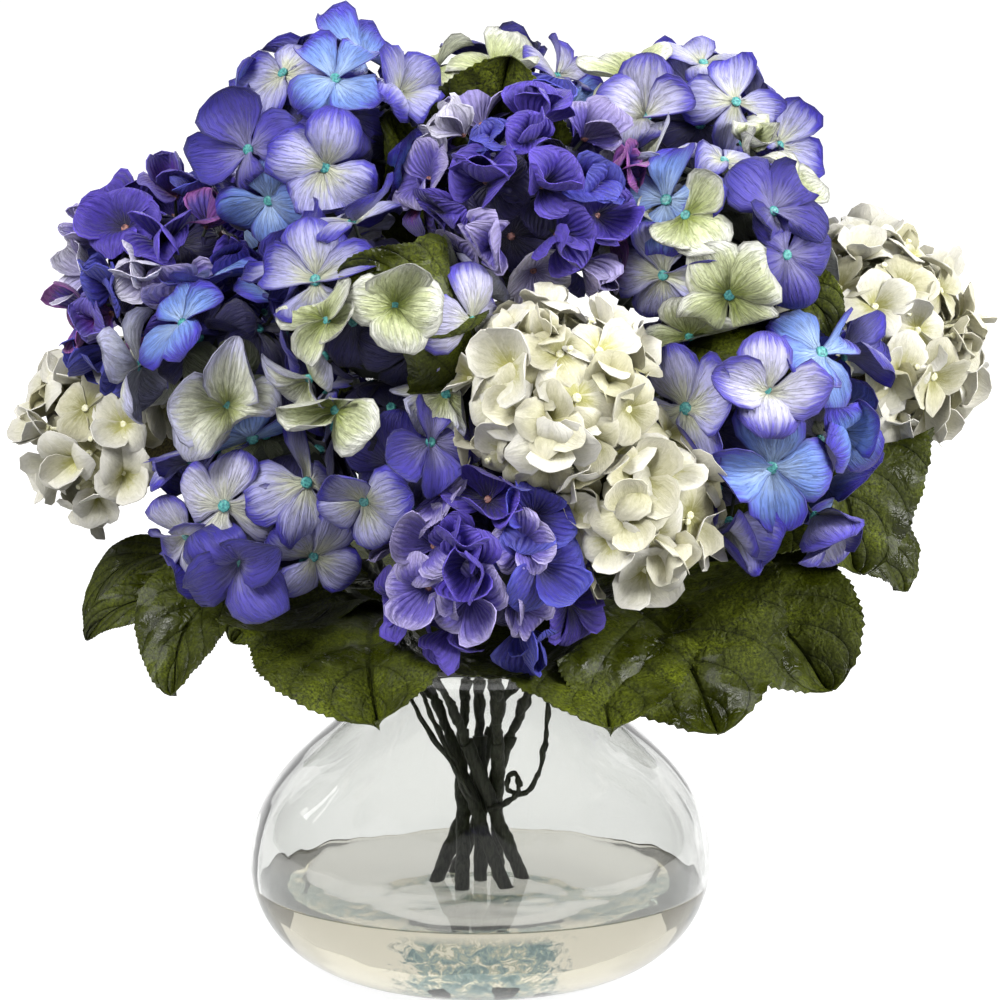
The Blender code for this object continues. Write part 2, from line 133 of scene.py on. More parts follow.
def named(name):
    """The object that was just added, under this name."""
    made = bpy.context.object
    made.name = made.data.name = name
    return made


def turned(name, profile):
    """A closed body of revolution, raised ring by ring from a circle as on a glassmaker's lathe."""
    bpy.ops.object.select_all(action="DESELECT")
    bpy.ops.mesh.primitive_circle_add(vertices=LATHE_STEPS, radius=profile[0][0],
                                      location=(0, 0, profile[0][1]))
    made = named(name)
    bpy.ops.object.transform_apply(location=True, rotation=True, scale=True)
    bpy.ops.object.mode_set(mode="EDIT")
    bpy.ops.mesh.edge_face_add()
    bpy.ops.mesh.select_mode(type="EDGE")
    for (radius, height), (next_radius, next_height) in zip(profile, profile[1:]):
        bpy.ops.mesh.extrude_edges_move(
            TRANSFORM_OT_translate={"value": (0, 0, next_height - height)})
        share = next_radius / radius
        bpy.ops.transform.resize(value=(share, share, 1), center_override=(0, 0, next_height))
    bpy.ops.mesh.edge_face_add()
    bpy.ops.mesh.select_all(action="SELECT")
    bpy.ops.mesh.normals_make_consistent(inside=False)
    bpy.ops.object.mode_set(mode="OBJECT")
    bpy.ops.object.shade_smooth()
    return made


def linear(code):
    """An sRGB hex colour as linear red, green, blue and alpha."""
    parts = [int(code[place:place + 2], 16) / 255 for place in (1, 3, 5)]
    parts = [part / 12.92 if part <= 0.04045 else ((part + 0.055) / 1.055) ** 2.4 for part in parts]
    return (*parts, 1.0)


def new_finish(name, settings):
    """A named material, its node tree and its shader, with these values on the shader's sockets."""
    finish = bpy.data.materials.new(name)
    finish.use_nodes = True
    shader = finish.node_tree.nodes["Principled BSDF"]
    for socket, value in settings.items():
        shader.inputs[socket].default_value = value
    return finish, finish.node_tree, shader


def plug(node, links):
    """Links outputs to a node's inputs. A node that is given as a source stands for its first
    output."""
    for key, source in links.items():
        node.id_data.links.new(getattr(source, "outputs", [source])[0], node.inputs[key])


def add_node(tree, kind, settings, links):
    """Adds a node with its settings, by input or property, and its incoming links. The stops of a
    colour ramp are pairs of a position and a hex colour."""
    node = tree.nodes.new(f"ShaderNode{kind}")
    for key, value in settings.items():
        if key == "stops":
            elements = node.color_ramp.elements
            elements[0].position, elements[1].position = value[0][0], value[-1][0]
            for position, _ in value[1:-1]:
                elements.new(position)
            for element, (_, code) in zip(elements, value):
                element.color = linear(code)
        elif isinstance(key, int) or key in node.inputs:
            node.inputs[key].default_value = value
        else:
            setattr(node, key, value)
    plug(node, links)
    return node


# Soda-lime glass: clear, greener in the thick foot, and greyer where the wall is seen edge on, partly
# from the longer path through the glass and partly as painted shade for the dark surroundings that
# the edges show, with the faint draw marks of hand blowing, which bend its reflections.
blown_glass, tree, shader = new_finish(
    "blown_soda_lime_glass", {"Roughness": 0.0, "IOR": 1.5, "Transmission Weight": 1.0})
# Painted shade: the base colour turns grey where the wall is seen edge on, but not on the wetted inner
# wall
edge_on = add_node(tree, "LayerWeight", {"Blend": 0.5}, {})
thick = add_node(tree, "MapRange", {"From Min": 0.7, "interpolation_type": "SMOOTHSTEP"},
                 {"Value": edge_on.outputs["Facing"]})
place = add_node(tree, "TexCoord", {}, {})
height = add_node(tree, "SeparateXYZ", {}, {0: place.outputs["Object"]})
inner = add_node(tree, "NewGeometry", {}, {})
under = add_node(tree, "MapRange", {"From Min": WATER_LEVEL, "From Max": WATER_LEVEL - 3 * MM},
                 {"Value": height.outputs["Z"]})
under = add_node(tree, "Math", {"operation": "MULTIPLY"}, {0: under, 1: inner.outputs["Backfacing"]})
thick = add_node(tree, "Math", {"operation": "SUBTRACT", "use_clamp": True}, {0: thick, 1: under})
tint_and_edge_shade = add_node(tree, "Mix", {"data_type": "RGBA", 6: linear("#e6e7e5"), 7: linear("#474c4a")},
                {0: thick})
foot = add_node(tree, "MapRange", {"From Min": 9 * MM, "From Max": 1 * MM},
                {"Value": height.outputs["Z"]})
foot = add_node(tree, "Math", {"operation": "SUBTRACT", "use_clamp": True},
                {0: foot, 1: inner.outputs["Backfacing"]})
tint_and_edge_shade = add_node(tree, "Mix", {"data_type": "RGBA", 7: linear("#7f8f88")},
                {0: foot, 6: tint_and_edge_shade.outputs[2]})
plug(shader, {"Base Color": tint_and_edge_shade.outputs[2]})
stretch = add_node(tree, "Mapping", {"Scale": (16, 16, 9)}, {"Vector": place.outputs["Object"]})
marks = add_node(tree, "TexNoise", {"Scale": 1.0, "Detail": 2.0}, {"Vector": stretch})
relief = add_node(tree, "Bump", {"Strength": 0.16, "Distance": 0.02}, {"Height": marks})
plug(shader, {"Normal": relief})

# Where the resin wets the glass no air lies between them, so light passes straight: their faces
# there have no index step.
wetted_glass, tree, shader = new_finish("glass_wetted_by_resin", {
    "Base Color": linear("#ffffff"), "Roughness": 0.0, "IOR": 1.0, "Transmission Weight": 1.0})

inside = vase_inside(GLASS_WALL)
wetted, level_point = filled_to_level(inside)
dry = [point for point in inside[len(wetted):] if point[1] > WATER_LEVEL + MM]
inside = wetted + [level_point] + dry[:-1] + [(dry[-1][0], VASE_HEIGHT - LIP_EDGE)]
lip = [(LIP_RADIUS - 0.6 * MM, VASE_HEIGHT), (inside[-1][0] + 0.6 * MM, VASE_HEIGHT)]
underside = [(step * 4 * MM, FOOT_DISH) for step in range(1, 12)]
outside = [(BASE_RADIUS - FOOT_EDGE, 0)] + vase_outside()[1:-1]
outside.append((LIP_RADIUS, VASE_HEIGHT - LIP_EDGE))
vase = turned("glass_vase", underside + outside + lip + inside[::-1])
# The foot's underside is dished, and uneven where it was cracked off, which breaks up what shines
# through it
bpy.ops.object.mode_set(mode="EDIT")
bpy.ops.mesh.select_all(action="DESELECT")
bpy.ops.object.mode_set(mode="OBJECT")
for vertex in vase.data.vertices:
    vertex.select = abs(vertex.co.z - FOOT_DISH) < 0.01 * MM and vertex.co.xy.length < DISH_RADIUS
bpy.ops.object.mode_set(mode="EDIT")
bpy.ops.transform.vertex_random(offset=DISH_UNEVEN, seed=5)
bpy.ops.object.mode_set(mode="OBJECT")
vase.data.materials.append(blown_glass)
vase.data.materials.append(wetted_glass)
for face in vase.data.polygons:
    face.material_index = int(face.normal.z > 0 and face.center.z < WATER_LEVEL)
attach(vase, "root")
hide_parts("vase")


# Set resin
# Clear casting resin poured to 45 mm and left to set round the stems: it has yellowed a little, and
# its level face creeps up the glass at the edge.
wetted, level_point = filled_to_level(vase_inside(GLASS_WALL - 0.05 * MM))
creep = [(0, 0), (0.8, 0.5), (2.0, 0.9), (2.8, 1.0), (3.6, 1.0)]  # (from the wall, down) in mm
edge = [(level_point[0] - back * MM, WATER_LEVEL - down * MM) for back, down in creep]
resin = turned("set_resin", wetted + edge)
cast_resin, tree, shader = new_finish("cast_clear_resin", {
    "Base Color": linear("#f9fbff"), "Roughness": 0.0, "IOR": 1.5, "Transmission Weight": 1.0})
place = add_node(tree, "TexCoord", {}, {})
ripple = add_node(tree, "TexNoise", {"Scale": 18.0, "Detail": 1.0}, {"Vector": place.outputs["Object"]})
relief = add_node(tree, "Bump", {"Strength": 0.02, "Distance": 0.02}, {"Height": ripple})
plug(shader, {"Normal": relief})
# Against the glass the resin looks cream, broken up in the middle of each side by what the curved
# wall reflects: a painted reflection, drawn here as ragged teal and grey patches.
yellowed_resin_and_painted_reflection, tree, shader = new_finish(
    "cast_resin_against_glass", {"Roughness": 0.0, "IOR": 1.0, "Transmission Weight": 0.84})
place = add_node(tree, "TexCoord", {}, {})
sides = add_node(tree, "SeparateXYZ", {}, {0: place.outputs["Object"]})
across, depth = (add_node(tree, "Math", {"operation": "ABSOLUTE"}, {0: sides.outputs[axis]})
                 for axis in "XY")
aside = add_node(tree, "Math", {"operation": "MINIMUM"}, {0: across, 1: depth})
stretch = add_node(tree, "Mapping", {"Scale": (150, 150, 150)}, {"Vector": place.outputs["Object"]})
painted_reflection_patches = add_node(tree, "TexNoise",
                   {"Scale": 1.0, "Detail": 5.0, "Roughness": 0.7, "Distortion": 1.2},
                   {"Vector": stretch})
tones = ((0.40, "#3f5f66"), (0.48, "#6e9094"), (0.55, "#a3a68c"), (0.62, "#f4eed6"))
tone = add_node(tree, "ValToRGB", {"stops": tones}, {"Fac": painted_reflection_patches})
ragged = add_node(tree, "Math", {"operation": "MULTIPLY_ADD", 1: 60 * MM}, {0: painted_reflection_patches, 2: aside})
middle = add_node(tree, "MapRange", {"From Min": 68 * MM, "From Max": 58 * MM}, {"Value": ragged})
low = add_node(tree, "MapRange", {"From Min": 43 * MM, "From Max": 38 * MM},
               {"Value": sides.outputs["Z"]})
shown = add_node(tree, "Math", {"operation": "MULTIPLY"}, {0: middle, 1: low})
inner = add_node(tree, "NewGeometry", {}, {})
shown = add_node(tree, "Math", {"operation": "SUBTRACT", "use_clamp": True},
                 {0: shown, 1: inner.outputs["Backfacing"]})
colour = add_node(tree, "Mix", {"data_type": "RGBA", 6: linear("#f9f2de")}, {0: shown, 7: tone})
plug(shader, {"Base Color": colour.outputs[2]})
resin.data.materials.append(cast_resin)
resin.data.materials.append(yellowed_resin_and_painted_reflection)
for face in resin.data.polygons:
    face.material_index = int(face.normal.z < 0)
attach(resin, "root")
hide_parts("resin_water")


# Stems
# Seven feet of thick iron wire in dark green polyethylene, dipped so that the skin is rough and
# lumpy. They cross in a bundle above the resin and fork into one thinner wire for each bloom.
STEM_RADIUS = 3.3 * MM
BRANCH_RADIUS = 1.9 * MM
SPARE_RADIUS = 1.3 * MM
BRANCH_OVERLAP = 4 * MM  # how deep a branch starts inside its stem
BRANCH_RISE = 0.35  # share of its reach that a branch follows its stem, before it bends away
BRANCH_ENTRY = 0.3  # share of its reach that it runs straight up into its bloom
LUMPS = 0.42  # how far a thin wire strays and swells, as a share of its radius
STEM_LUMPS = 0.1
RING_STEMS = 6
STEM_STEPS = 30
BRANCH_STEPS = 70
CROSSING_HEIGHT = 85 * MM
CROSSING_RADIUS = 8.4 * MM  # how far from the axis each outer stem passes
FORK_HEIGHT = 112 * MM
STEM_LEAN = math.radians(24)
CORE_SHARE = 0.58  # heart's radius over bloom's radius
HEART_MARGIN = 0.7 * MM  # from a heart to the plane shared with the next bloom
CLEARANCE = 0.3 * MM
NEIGHBOUR_SEARCH = 14 * MM
FOOT_HEIGHT = WATER_LEVEL - 4 * MM  # the rest of the feet can't be seen in the resin
BOUQUET_HEART = Vector((0, 0, 170 * MM))  # every bloom faces away from this point
# name: (centre in mm, radius in mm, stem that carries it)
BLOOMS = {
    "blue_bloom_top_left": ((-68, -52, 394), 57, 0),
    "blue_bloom_crown": ((6, 14, 403), 46, 0),
    "purple_bloom_top": ((18, -100, 375), 56, 0),
    "purple_bloom_front_low": ((6, -145, 229), 54, 1),
    "white_bloom_front": ((31, -150, 296), 50, 1),
    "blue_bloom_front": ((-41, -133, 332), 56, 1),
    "blue_bloom_heart": ((-34, -132, 276), 54, 1),
    "white_bloom_front_right": ((64, -140, 250), 48, 2),
    "blue_bloom_right": ((120, -102, 279), 62, 2),
    "blue_bloom_right_high": ((102, -85, 352), 58, 2),
    "white_bloom_right": ((174, 0, 301), 61, 3),
    "blue_bloom_top_right": ((92, -22, 387), 57, 3),
    "purple_bloom_back_right": ((118, 90, 256), 58, 3),
    "white_bloom_back": ((4, 130, 250), 59, 4),
    "blue_bloom_back_high": ((84, 68, 340), 57, 4),
    "purple_bloom_back_high": ((0, 96, 342), 57, 4),
    "blue_bloom_back_left": ((-110, 88, 254), 59, 5),
    "blue_bloom_left_high": ((-88, 54, 344), 57, 5),
    "white_bloom_left": ((-166, -8, 260), 48, 5),
    "blue_bloom_left_low": ((-92, -100, 242), 56, 6),
    "blue_bloom_left": ((-110, -96, 300), 52, 6),
    "purple_bloom_left": ((-137, -40, 332), 55, 6),
}


def stem_line(index):
    """Foot and fork of one main stem. The first stands on the axis; six lean past it."""
    lean, side = Vector(), Vector()
    if index > 0:
        angle = math.tau * (index - 1) / RING_STEMS - math.pi / 2
        lean = Vector((math.cos(angle), math.sin(angle), 0)) * math.tan(STEM_LEAN)
        side = Vector((-math.sin(angle), math.cos(angle), 0)) * CROSSING_RADIUS
    foot, fork = (side + lean * (height - CROSSING_HEIGHT) + UP * height
                  for height in (FOOT_HEIGHT, FORK_HEIGHT))
    return foot, fork


def bloom_ball(name):
    """A bloom's centre and radius, and the direction that it faces."""
    centre_mm, radius_mm, _ = BLOOMS[name]
    centre = Vector(centre_mm) * MM
    return centre, radius_mm * MM, (centre - BOUQUET_HEART).normalized()


def neighbour_planes(name):
    """(normal, offset) of the planes where this bloom's ball meets its neighbours' balls."""
    centre, radius, _ = bloom_ball(name)
    planes = []
    for other in BLOOMS:
        other_centre, other_radius, _ = bloom_ball(other)
        gap = other_centre - centre
        if other == name or gap.length > radius + other_radius + NEIGHBOUR_SEARCH:
            continue
        reach = (gap.length**2 + radius**2 - other_radius**2) / (2 * gap.length)
        normal = gap.normalized()
        planes.append((normal, normal.dot(centre) + reach))
    return planes


def core_radius(name):
    """The tied heart of a bloom keeps inside its own share of the bouquet."""
    centre, radius, _ = bloom_ball(name)
    planes = neighbour_planes(name)
    rooms = [offset - HEART_MARGIN - normal.dot(centre) for normal, offset in planes]
    return min([radius * CORE_SHARE] + rooms)


def branch_path(name, steps):
    """From inside the fork to the underside of the bloom's heart."""
    centre, _, axis = bloom_ball(name)
    foot, fork = stem_line(BLOOMS[name][2])
    along = (fork - foot).normalized()
    start, end = fork - along * BRANCH_OVERLAP, centre - axis * (core_radius(name) + CLEARANCE)
    reach = (end - start).length
    control = [start, start + along * reach * BRANCH_RISE, end - axis * reach * BRANCH_ENTRY, end]
    return [bezier(control, step / steps) for step in range(steps + 1)]


def wire(name, points, radius, chance, rough=LUMPS):
    """A lumpy wire through the points, drawn as a curve with a round section and made a mesh. It
    strays by up to the rough share of its radius."""
    bpy.ops.object.select_all(action="DESELECT")
    bpy.ops.curve.primitive_nurbs_path_add()
    made = bpy.context.object
    made.name = name
    line = made.data
    line.splines.clear()
    spline = line.splines.new("NURBS")
    spline.points.add(len(points) - 1)
    for point, place in zip(spline.points, points):
        stray = Vector(chance.uniform(-rough, rough) * radius for _ in range(3))
        point.co = (*(place + stray), 1)
        point.radius = chance.uniform(1 - rough, 1 + rough)
    spline.use_endpoint_u = True
    spline.order_u = 3
    spline.resolution_u = 2
    line.bevel_depth = radius
    line.bevel_resolution = 3
    line.use_fill_caps = True
    bpy.ops.object.convert(target="MESH")
    bpy.ops.object.shade_smooth()
    return bpy.context.object


def joined(name, parts):
    """One named object from several."""
    bpy.ops.object.select_all(action="DESELECT")
    for part in parts:
        part.select_set(True)
    bpy.context.view_layer.objects.active = parts[0]
    if len(parts) > 1:
        bpy.ops.object.join()
    bpy.ops.object.transform_apply(location=True, rotation=True, scale=True)
    return named(name)


# Dipped polyethylene: nearly black green, matt, with a bark-like skin of fine drips and pits.
dipped_wire, tree, shader = new_finish("dipped_dark_green_polyethylene", {"Roughness": 0.55})
place = add_node(tree, "TexCoord", {}, {})
drips = add_node(tree, "Mapping", {"Scale": (900, 900, 160)}, {"Vector": place.outputs["Object"]})
skin = add_node(tree, "TexNoise", {"Scale": 1.0, "Detail": 4.0}, {"Vector": drips})
tone = add_node(tree, "ValToRGB", {"stops": ((0.35, "#1b1e17"), (0.75, "#4b4f42"))}, {"Fac": skin})
relief = add_node(tree, "Bump", {"Strength": 0.7, "Distance": 0.8 * MM}, {"Height": skin})
plug(shader, {"Base Color": tone, "Normal": relief})

# Thin spare wires, in mm, which leave the bundle low and stand in the neck with the branches
SPARE_WIRES = {
    5: ((-3, -9, 84), (-9, -12, 95), (-19, -14, 110), (-28, -14, 124), (-35, -14, 140),
        (-37, -20, 158)),
    6: ((-6, -9, 86), (-12, -12, 103), (-20, -16, 119), (-26, -16, 132), (-29, -18, 146),
        (-31, -26, 160)),
    2: ((4, -9, 80), (12, -11, 82), (17, -13, 87), (19, -14, 93), (17, -13, 98), (13, -12, 96),
        (13, -12, 90), (18, -12, 87), (24, -13, 91), (28, -13, 100), (30, -13, 110), (31, -14, 122),
        (32, -16, 136), (33, -22, 156)),
}

for index in range(RING_STEMS + 1):
    chance = random.Random(index)
    foot, fork = stem_line(index)
    line = [foot.lerp(fork, step / STEM_STEPS) for step in range(STEM_STEPS + 1)]
    parts = [wire("stem", line, STEM_RADIUS, chance, STEM_LUMPS)]
    for name, row in BLOOMS.items():
        if row[2] == index:
            parts.append(wire("branch", branch_path(name, BRANCH_STEPS), BRANCH_RADIUS, chance))
    if index in SPARE_WIRES:
        places = [Vector(place) * MM for place in SPARE_WIRES[index]]
        line = [first.lerp(second, step / 4)
                for first, second in zip(places, places[1:]) for step in range(4)]
        parts.append(wire("spare_wire", line + places[-1:], SPARE_RADIUS, chance))
    stem = joined(f"forked_stem_{index + 1}", parts)
    stem.data.materials.clear()
    stem.data.materials.append(dipped_wire)
    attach(stem, "root")
    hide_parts(f"stem_{index + 1}")


# Blooms with large florets
# Each head is a tied heart with wired florets of dyed polyester cloth, heat-stamped with veins.
# A floret is four petals about 29 mm long round a moulded teal bead, dyed from a cream or green
# throat to a violet or sky-blue rim.
PETAL_THICKNESS = 0.4 * MM  # so that it shows: the real cloth is thinner
PETAL_BEND = 4 * MM  # how far a petal reaches past a neighbour's plane before it lies along it
THROAT_RADIUS = 8 * MM  # a petal keeps this low round the throat of the next floret,
THROAT_DEPTH = 2.5 * MM  # this far under its seat,
THROAT_SLOPE = 1.8  # and rises from there by this much for each mm further out
SEAT_TRIALS = 700
COVERED = math.radians(104)  # how far from its axis a bloom carries florets
BACK = 20 * MM  # what lies further back than this, the photograph doesn't show
STALK_ROOT = 0.85  # share of the heart's radius where a floret's wire begins
STALK_HINT = Vector((0.1, 0.2, 0.3))
BEAD_RISE = 0.8 * MM
BUD_SIZE = 0.8


def pick(made, wanted):
    """Goes into edit mode with only these vertices selected."""
    bpy.ops.object.mode_set(mode="OBJECT")
    for group in (made.data.vertices, made.data.edges, made.data.polygons):
        group.foreach_set("select", [False] * len(group))
    made.data.vertices.foreach_set("select", wanted)
    bpy.context.tool_settings.mesh_select_mode = (True, False, False)
    bpy.ops.object.mode_set(mode="EDIT")


def cloth_places(made):
    """Where each vertex lies on the cloth, from its own UV map, from 0 to 1 each way."""
    corners, places = len(made.data.loops), np.zeros(2 * len(made.data.loops))
    made.data.uv_layers[0].data.foreach_get("uv", places)
    owner = np.zeros(corners, int)
    made.data.loops.foreach_get("vertex_index", owner)
    found = np.zeros((len(made.data.vertices), 2))
    found[owner] = places.reshape(-1, 2)
    return found


def thickened(made, thickness):
    """Gives a sheet of cloth its thickness, half to each side, and sharp cut edges."""
    thick = made.modifiers.new("cloth", "SOLIDIFY")
    thick.thickness = thickness
    thick.offset = 0
    bpy.ops.object.modifier_apply(modifier=thick.name)
    bpy.ops.object.shade_smooth()
    made.data.set_sharp_from_angle(angle=math.radians(60))


def stamped_petal(name, across, along, cloth):
    """A petal stamped from a square of cloth, lying along +Y with its root at the origin.
    across gives (set back, rise) in mm for each column from the middle out, and along gives
    (distance, half width, rise) in mm for each row from the root to the tip."""
    columns, rows = 2 * len(across) - 2, len(along) - 1
    bpy.ops.object.select_all(action="DESELECT")
    bpy.ops.mesh.primitive_grid_add(x_subdivisions=columns, y_subdivisions=rows, size=2)
    made = named(name)
    places = cloth_places(made)
    widest = max(half_width for _, half_width, _ in along)
    for step, (distance, half_width, rise) in enumerate(along):
        pick(made, abs(places[:, 1] - step / rows) < 0.01)
        bpy.ops.transform.resize(value=(half_width * MM, 0, 1), center_override=(0, 0, 0))
        bpy.ops.transform.translate(value=(0, distance * MM, rise * MM))
    for step, (set_back, rise) in enumerate(across):
        for row in range(rows + 1):
            share = along[row][1] / widest
            column = abs(abs(places[:, 0] - 0.5) - step / columns) < 0.01
            pick(made, column & (abs(places[:, 1] - row / rows) < 0.01))
            bpy.ops.transform.translate(value=(0, -set_back * share * MM, rise * share * MM))
    bpy.ops.object.mode_set(mode="OBJECT")
    face_points = len(made.data.vertices)
    thickened(made, PETAL_THICKNESS)
    underside = made.data.attributes.new("underside", "FLOAT", "POINT")
    underside.data.foreach_set("value", np.arange(len(made.data.vertices)) >= face_points)
    made.data.materials.append(cloth)
    return made


def dyed_cloth(name, veins, pleats, relief, rim_tone):
    """Dyed polyester cloth, stamped with veins or pleats that spread from the petal's root. The dye
    runs from the throat to the rim in the colours that each petal carries, with flecks where the
    threads took less of it, and painted shade darkens its creases and the grooves of its pleats. The
    back is nearer to the rim's colour, and the cut edge has its tone."""
    finish, tree, shader = new_finish(
        name, {"Roughness": 0.58, "Sheen Weight": 0.12, "Sheen Roughness": 0.4})
    flat = add_node(tree, "TexCoord", {}, {})
    sides = add_node(tree, "SeparateXYZ", {}, {0: flat.outputs["UV"]})
    dye = {part: add_node(tree, "Attribute", {"attribute_name": part}, {})
           for part in ("throat", "middle", "rim", "underside")}
    # Veins are long streaks along the petal, and flecks are short ones, different on each petal
    place = add_node(tree, "CombineXYZ", {}, {
        0: sides.outputs["X"], 1: sides.outputs["Y"], 2: dye["rim"].outputs["Alpha"]})
    spread = add_node(tree, "Mapping", {"Scale": (veins, 1.3, 60)}, {"Vector": place})
    streaks = add_node(tree, "TexNoise", {"Scale": 1.0, "Detail": 3.0, "Roughness": 0.6},
                       {"Vector": spread})
    spread = add_node(tree, "Mapping", {"Scale": (veins, 7, 90)}, {"Vector": place})
    flecks = add_node(tree, "TexNoise",
                      {"Scale": 1.0, "Detail": 4.0, "Roughness": 0.7, "Distortion": 0.8},
                      {"Vector": spread})
    # How far out towards the rim: along the petal, and sooner at its sides
    side = add_node(tree, "Math", {"operation": "MULTIPLY_ADD", 1: 2.0, 2: -1.0}, {0: sides.outputs["X"]})
    side = add_node(tree, "Math", {"operation": "ABSOLUTE"}, {0: side})
    edge = add_node(tree, "Math", {"operation": "MAXIMUM"}, {0: side, 1: sides.outputs["Y"]})
    corner = add_node(tree, "Math", {"operation": "POWER", 1: 4.0}, {0: side})
    out = add_node(tree, "Math", {"operation": "MULTIPLY_ADD", 1: 0.35},
                   {0: corner, 2: sides.outputs["Y"]})
    for source in (streaks, flecks):
        out = add_node(tree, "Math", {"operation": "MULTIPLY_ADD", 1: 0.4}, {0: source, 2: out})
    first, last = (
        add_node(tree, "MapRange",
                 {"From Min": start, "From Max": end, "interpolation_type": "SMOOTHSTEP"}, {"Value": out})
        for start, end in ((0.52, 0.96), (0.94, 1.3)))
    colour = add_node(tree, "Mix", {"data_type": "RGBA"},
                      {0: first, 6: dye["throat"].outputs["Color"], 7: dye["middle"].outputs["Color"]})
    colour = add_node(tree, "Mix", {"data_type": "RGBA"},
                      {0: last, 6: colour.outputs[2], 7: dye["rim"].outputs["Color"]})
    behind = add_node(tree, "Math", {"operation": "MULTIPLY", 1: 0.6},
                      {0: dye["underside"].outputs["Fac"]})
    colour = add_node(tree, "Mix", {"data_type": "RGBA"},
                      {0: behind, 6: colour.outputs[2], 7: dye["rim"].outputs["Color"]})
    # Creases: thin lines where the streaks cross their mean, drawn darker below as painted shade
    crease = add_node(tree, "Math", {"operation": "SUBTRACT", 1: 0.5}, {0: streaks})
    crease = add_node(tree, "Math", {"operation": "ABSOLUTE"}, {0: crease})
    crease = add_node(tree, "MapRange", {"From Max": 0.05, "interpolation_type": "SMOOTHSTEP"},
                      {"Value": crease})
    drawn = add_node(tree, "MapRange", {"To Min": 1 - relief * 0.34}, {"Value": crease})
    # Depth of the dye in the flecks and the tone of the cut edge, with painted shade along the creases
    # and in the pleats' grooves
    depth = add_node(tree, "MapRange", {
        "From Min": 0.3, "From Max": 0.7, "To Min": 1 - relief * 0.4, "To Max": 1 + relief * 0.25},
        {"Value": flecks})
    folds = add_node(tree, "Math", {"operation": "MULTIPLY", 1: pleats * math.tau},
                     {0: sides.outputs["X"]})
    folds = add_node(tree, "Math", {"operation": "SINE"}, {0: folds})
    pleat_shade = add_node(tree, "MapRange", {"From Min": -1.0, "To Min": 0.86 if pleats else 1.0},
                      {"Value": folds})
    cut = add_node(tree, "MapRange",
                   {"From Min": 0.9, "From Max": 0.99, "To Min": 1.0, "To Max": rim_tone},
                   {"Value": edge})
    for factor in (depth, drawn, pleat_shade, cut):
        colour = add_node(tree, "VectorMath", {"operation": "SCALE"},
                          {0: colour.outputs[2 if factor == depth else 0], "Scale": factor})
    plug(shader, {"Base Color": colour})
    # The weave is drawn at 0.9 mm, coarser than the real 0.3 mm threads, so that it shows
    weave = add_node(tree, "TexNoise", {"Scale": 1 / (0.9 * MM), "Detail": 1.0},
                     {"Vector": flat.outputs["Object"]})
    raised = add_node(tree, "Bump", {"Strength": relief, "Distance": 1.6 * MM}, {"Height": streaks})
    raised = add_node(tree, "Bump", {"Strength": relief * 0.7, "Distance": 0.4 * MM},
                      {"Height": crease, "Normal": raised})
    if pleats:
        raised = add_node(tree, "Bump", {"Strength": 0.5, "Distance": 0.6 * MM},
                          {"Height": folds, "Normal": raised})
    raised = add_node(tree, "Bump", {"Strength": 0.25, "Distance": 0.3 * MM},
                      {"Height": weave, "Normal": raised})
    plug(shader, {"Normal": raised})
    return finish


blue_cloth = dyed_cloth("dyed_polyester_large_petals", 16, 0, 0.85, 0.5)
large_petals = [
    stamped_petal("lobed", [(0, -0.3), (0.2, 0.4), (1.0, 0.4), (2.8, -1.2)],
                  [(0, 1.3, 0), (5, 3.9, 0.6), (10.5, 9.0, 1.4), (16.5, 12.8, 1.9), (22.5, 13.6, 1.5),
                   (27, 10.6, 0.2), (29.4, 5.4, -1.4)], blue_cloth),
    stamped_petal("domed", [(0, 0.6), (0.2, 0.4), (1.0, -0.6), (2.6, -3.0)],
                  [(0, 1.3, 0), (5, 3.9, 2.0), (10.5, 9.0, 3.8), (16, 12.6, 4.4), (21.4, 13.2, 3.4),
                   (25.4, 10.4, 0.8), (27.4, 5.4, -2.0)], blue_cloth),
    stamped_petal("dished", [(0, 0), (0.2, 0.6), (1.0, 2.2), (2.8, 4.6)],
                  [(0, 1.3, 0), (5, 3.9, 0.8), (10.5, 9.0, 2.2), (16, 12.8, 4.4), (21, 13.4, 7.2),
                   (24.6, 10.6, 10.2), (26.4, 5.4, 12.2)], blue_cloth),
    stamped_petal("folded", [(0, -0.4), (0.2, 1.2), (0.8, 4.0), (1.6, 8.0)],
                  [(0, 1.3, 0), (5, 3.4, 1), (10.5, 7.0, 2), (16, 9.4, 2.4), (22, 9.8, 1.8),
                   (26.8, 7.8, 0.6), (29.4, 4.2, -0.8)], blue_cloth),
]


def smoothed(made, finish):
    """Leaves edit mode, smooths the piece and gives it its finish."""
    bpy.ops.object.mode_set(mode="OBJECT")
    bpy.ops.object.shade_smooth()
    made.data.materials.append(finish)
    return made


# Moulded hearts of the florets: a small bead of teal polyethylene, squat, with its crown pressed in
def moulded_bead(name, radius, height, plastic):
    """A squat bead, its crown inset and pressed in, on the end of the floret's wire."""
    bpy.ops.object.select_all(action="DESELECT")
    bpy.ops.mesh.primitive_uv_sphere_add(segments=8, ring_count=6, radius=radius)
    made = named(name)
    heights = np.array([vertex.co.z for vertex in made.data.vertices])
    pick(made, heights > radius * 0.8)
    bpy.ops.transform.translate(value=(0, 0, -radius * 0.45))
    pick(made, heights < -radius * 0.8)
    bpy.ops.transform.resize(value=(0.5, 0.5, 1), center_override=(0, 0, 0))
    bpy.ops.mesh.select_all(action="SELECT")
    bpy.ops.transform.resize(value=(1, 1, height / radius), center_override=(0, 0, 0))
    return smoothed(made, plastic)


def floret_stalk(name, radius, plastic):
    """A floret's wire, 1 m long from the origin up, thicker where it is tied in."""
    bpy.ops.object.select_all(action="DESELECT")
    bpy.ops.mesh.primitive_cylinder_add(vertices=5, radius=radius, depth=1, location=(0, 0, 0.5))
    made = named(name)
    bpy.ops.object.transform_apply(location=True, rotation=True, scale=True)
    pick(made, [vertex.co.z < 0.5 for vertex in made.data.vertices])
    bpy.ops.transform.resize(value=(1.5, 1.5, 1), center_override=(0, 0, 0))
    return smoothed(made, plastic)


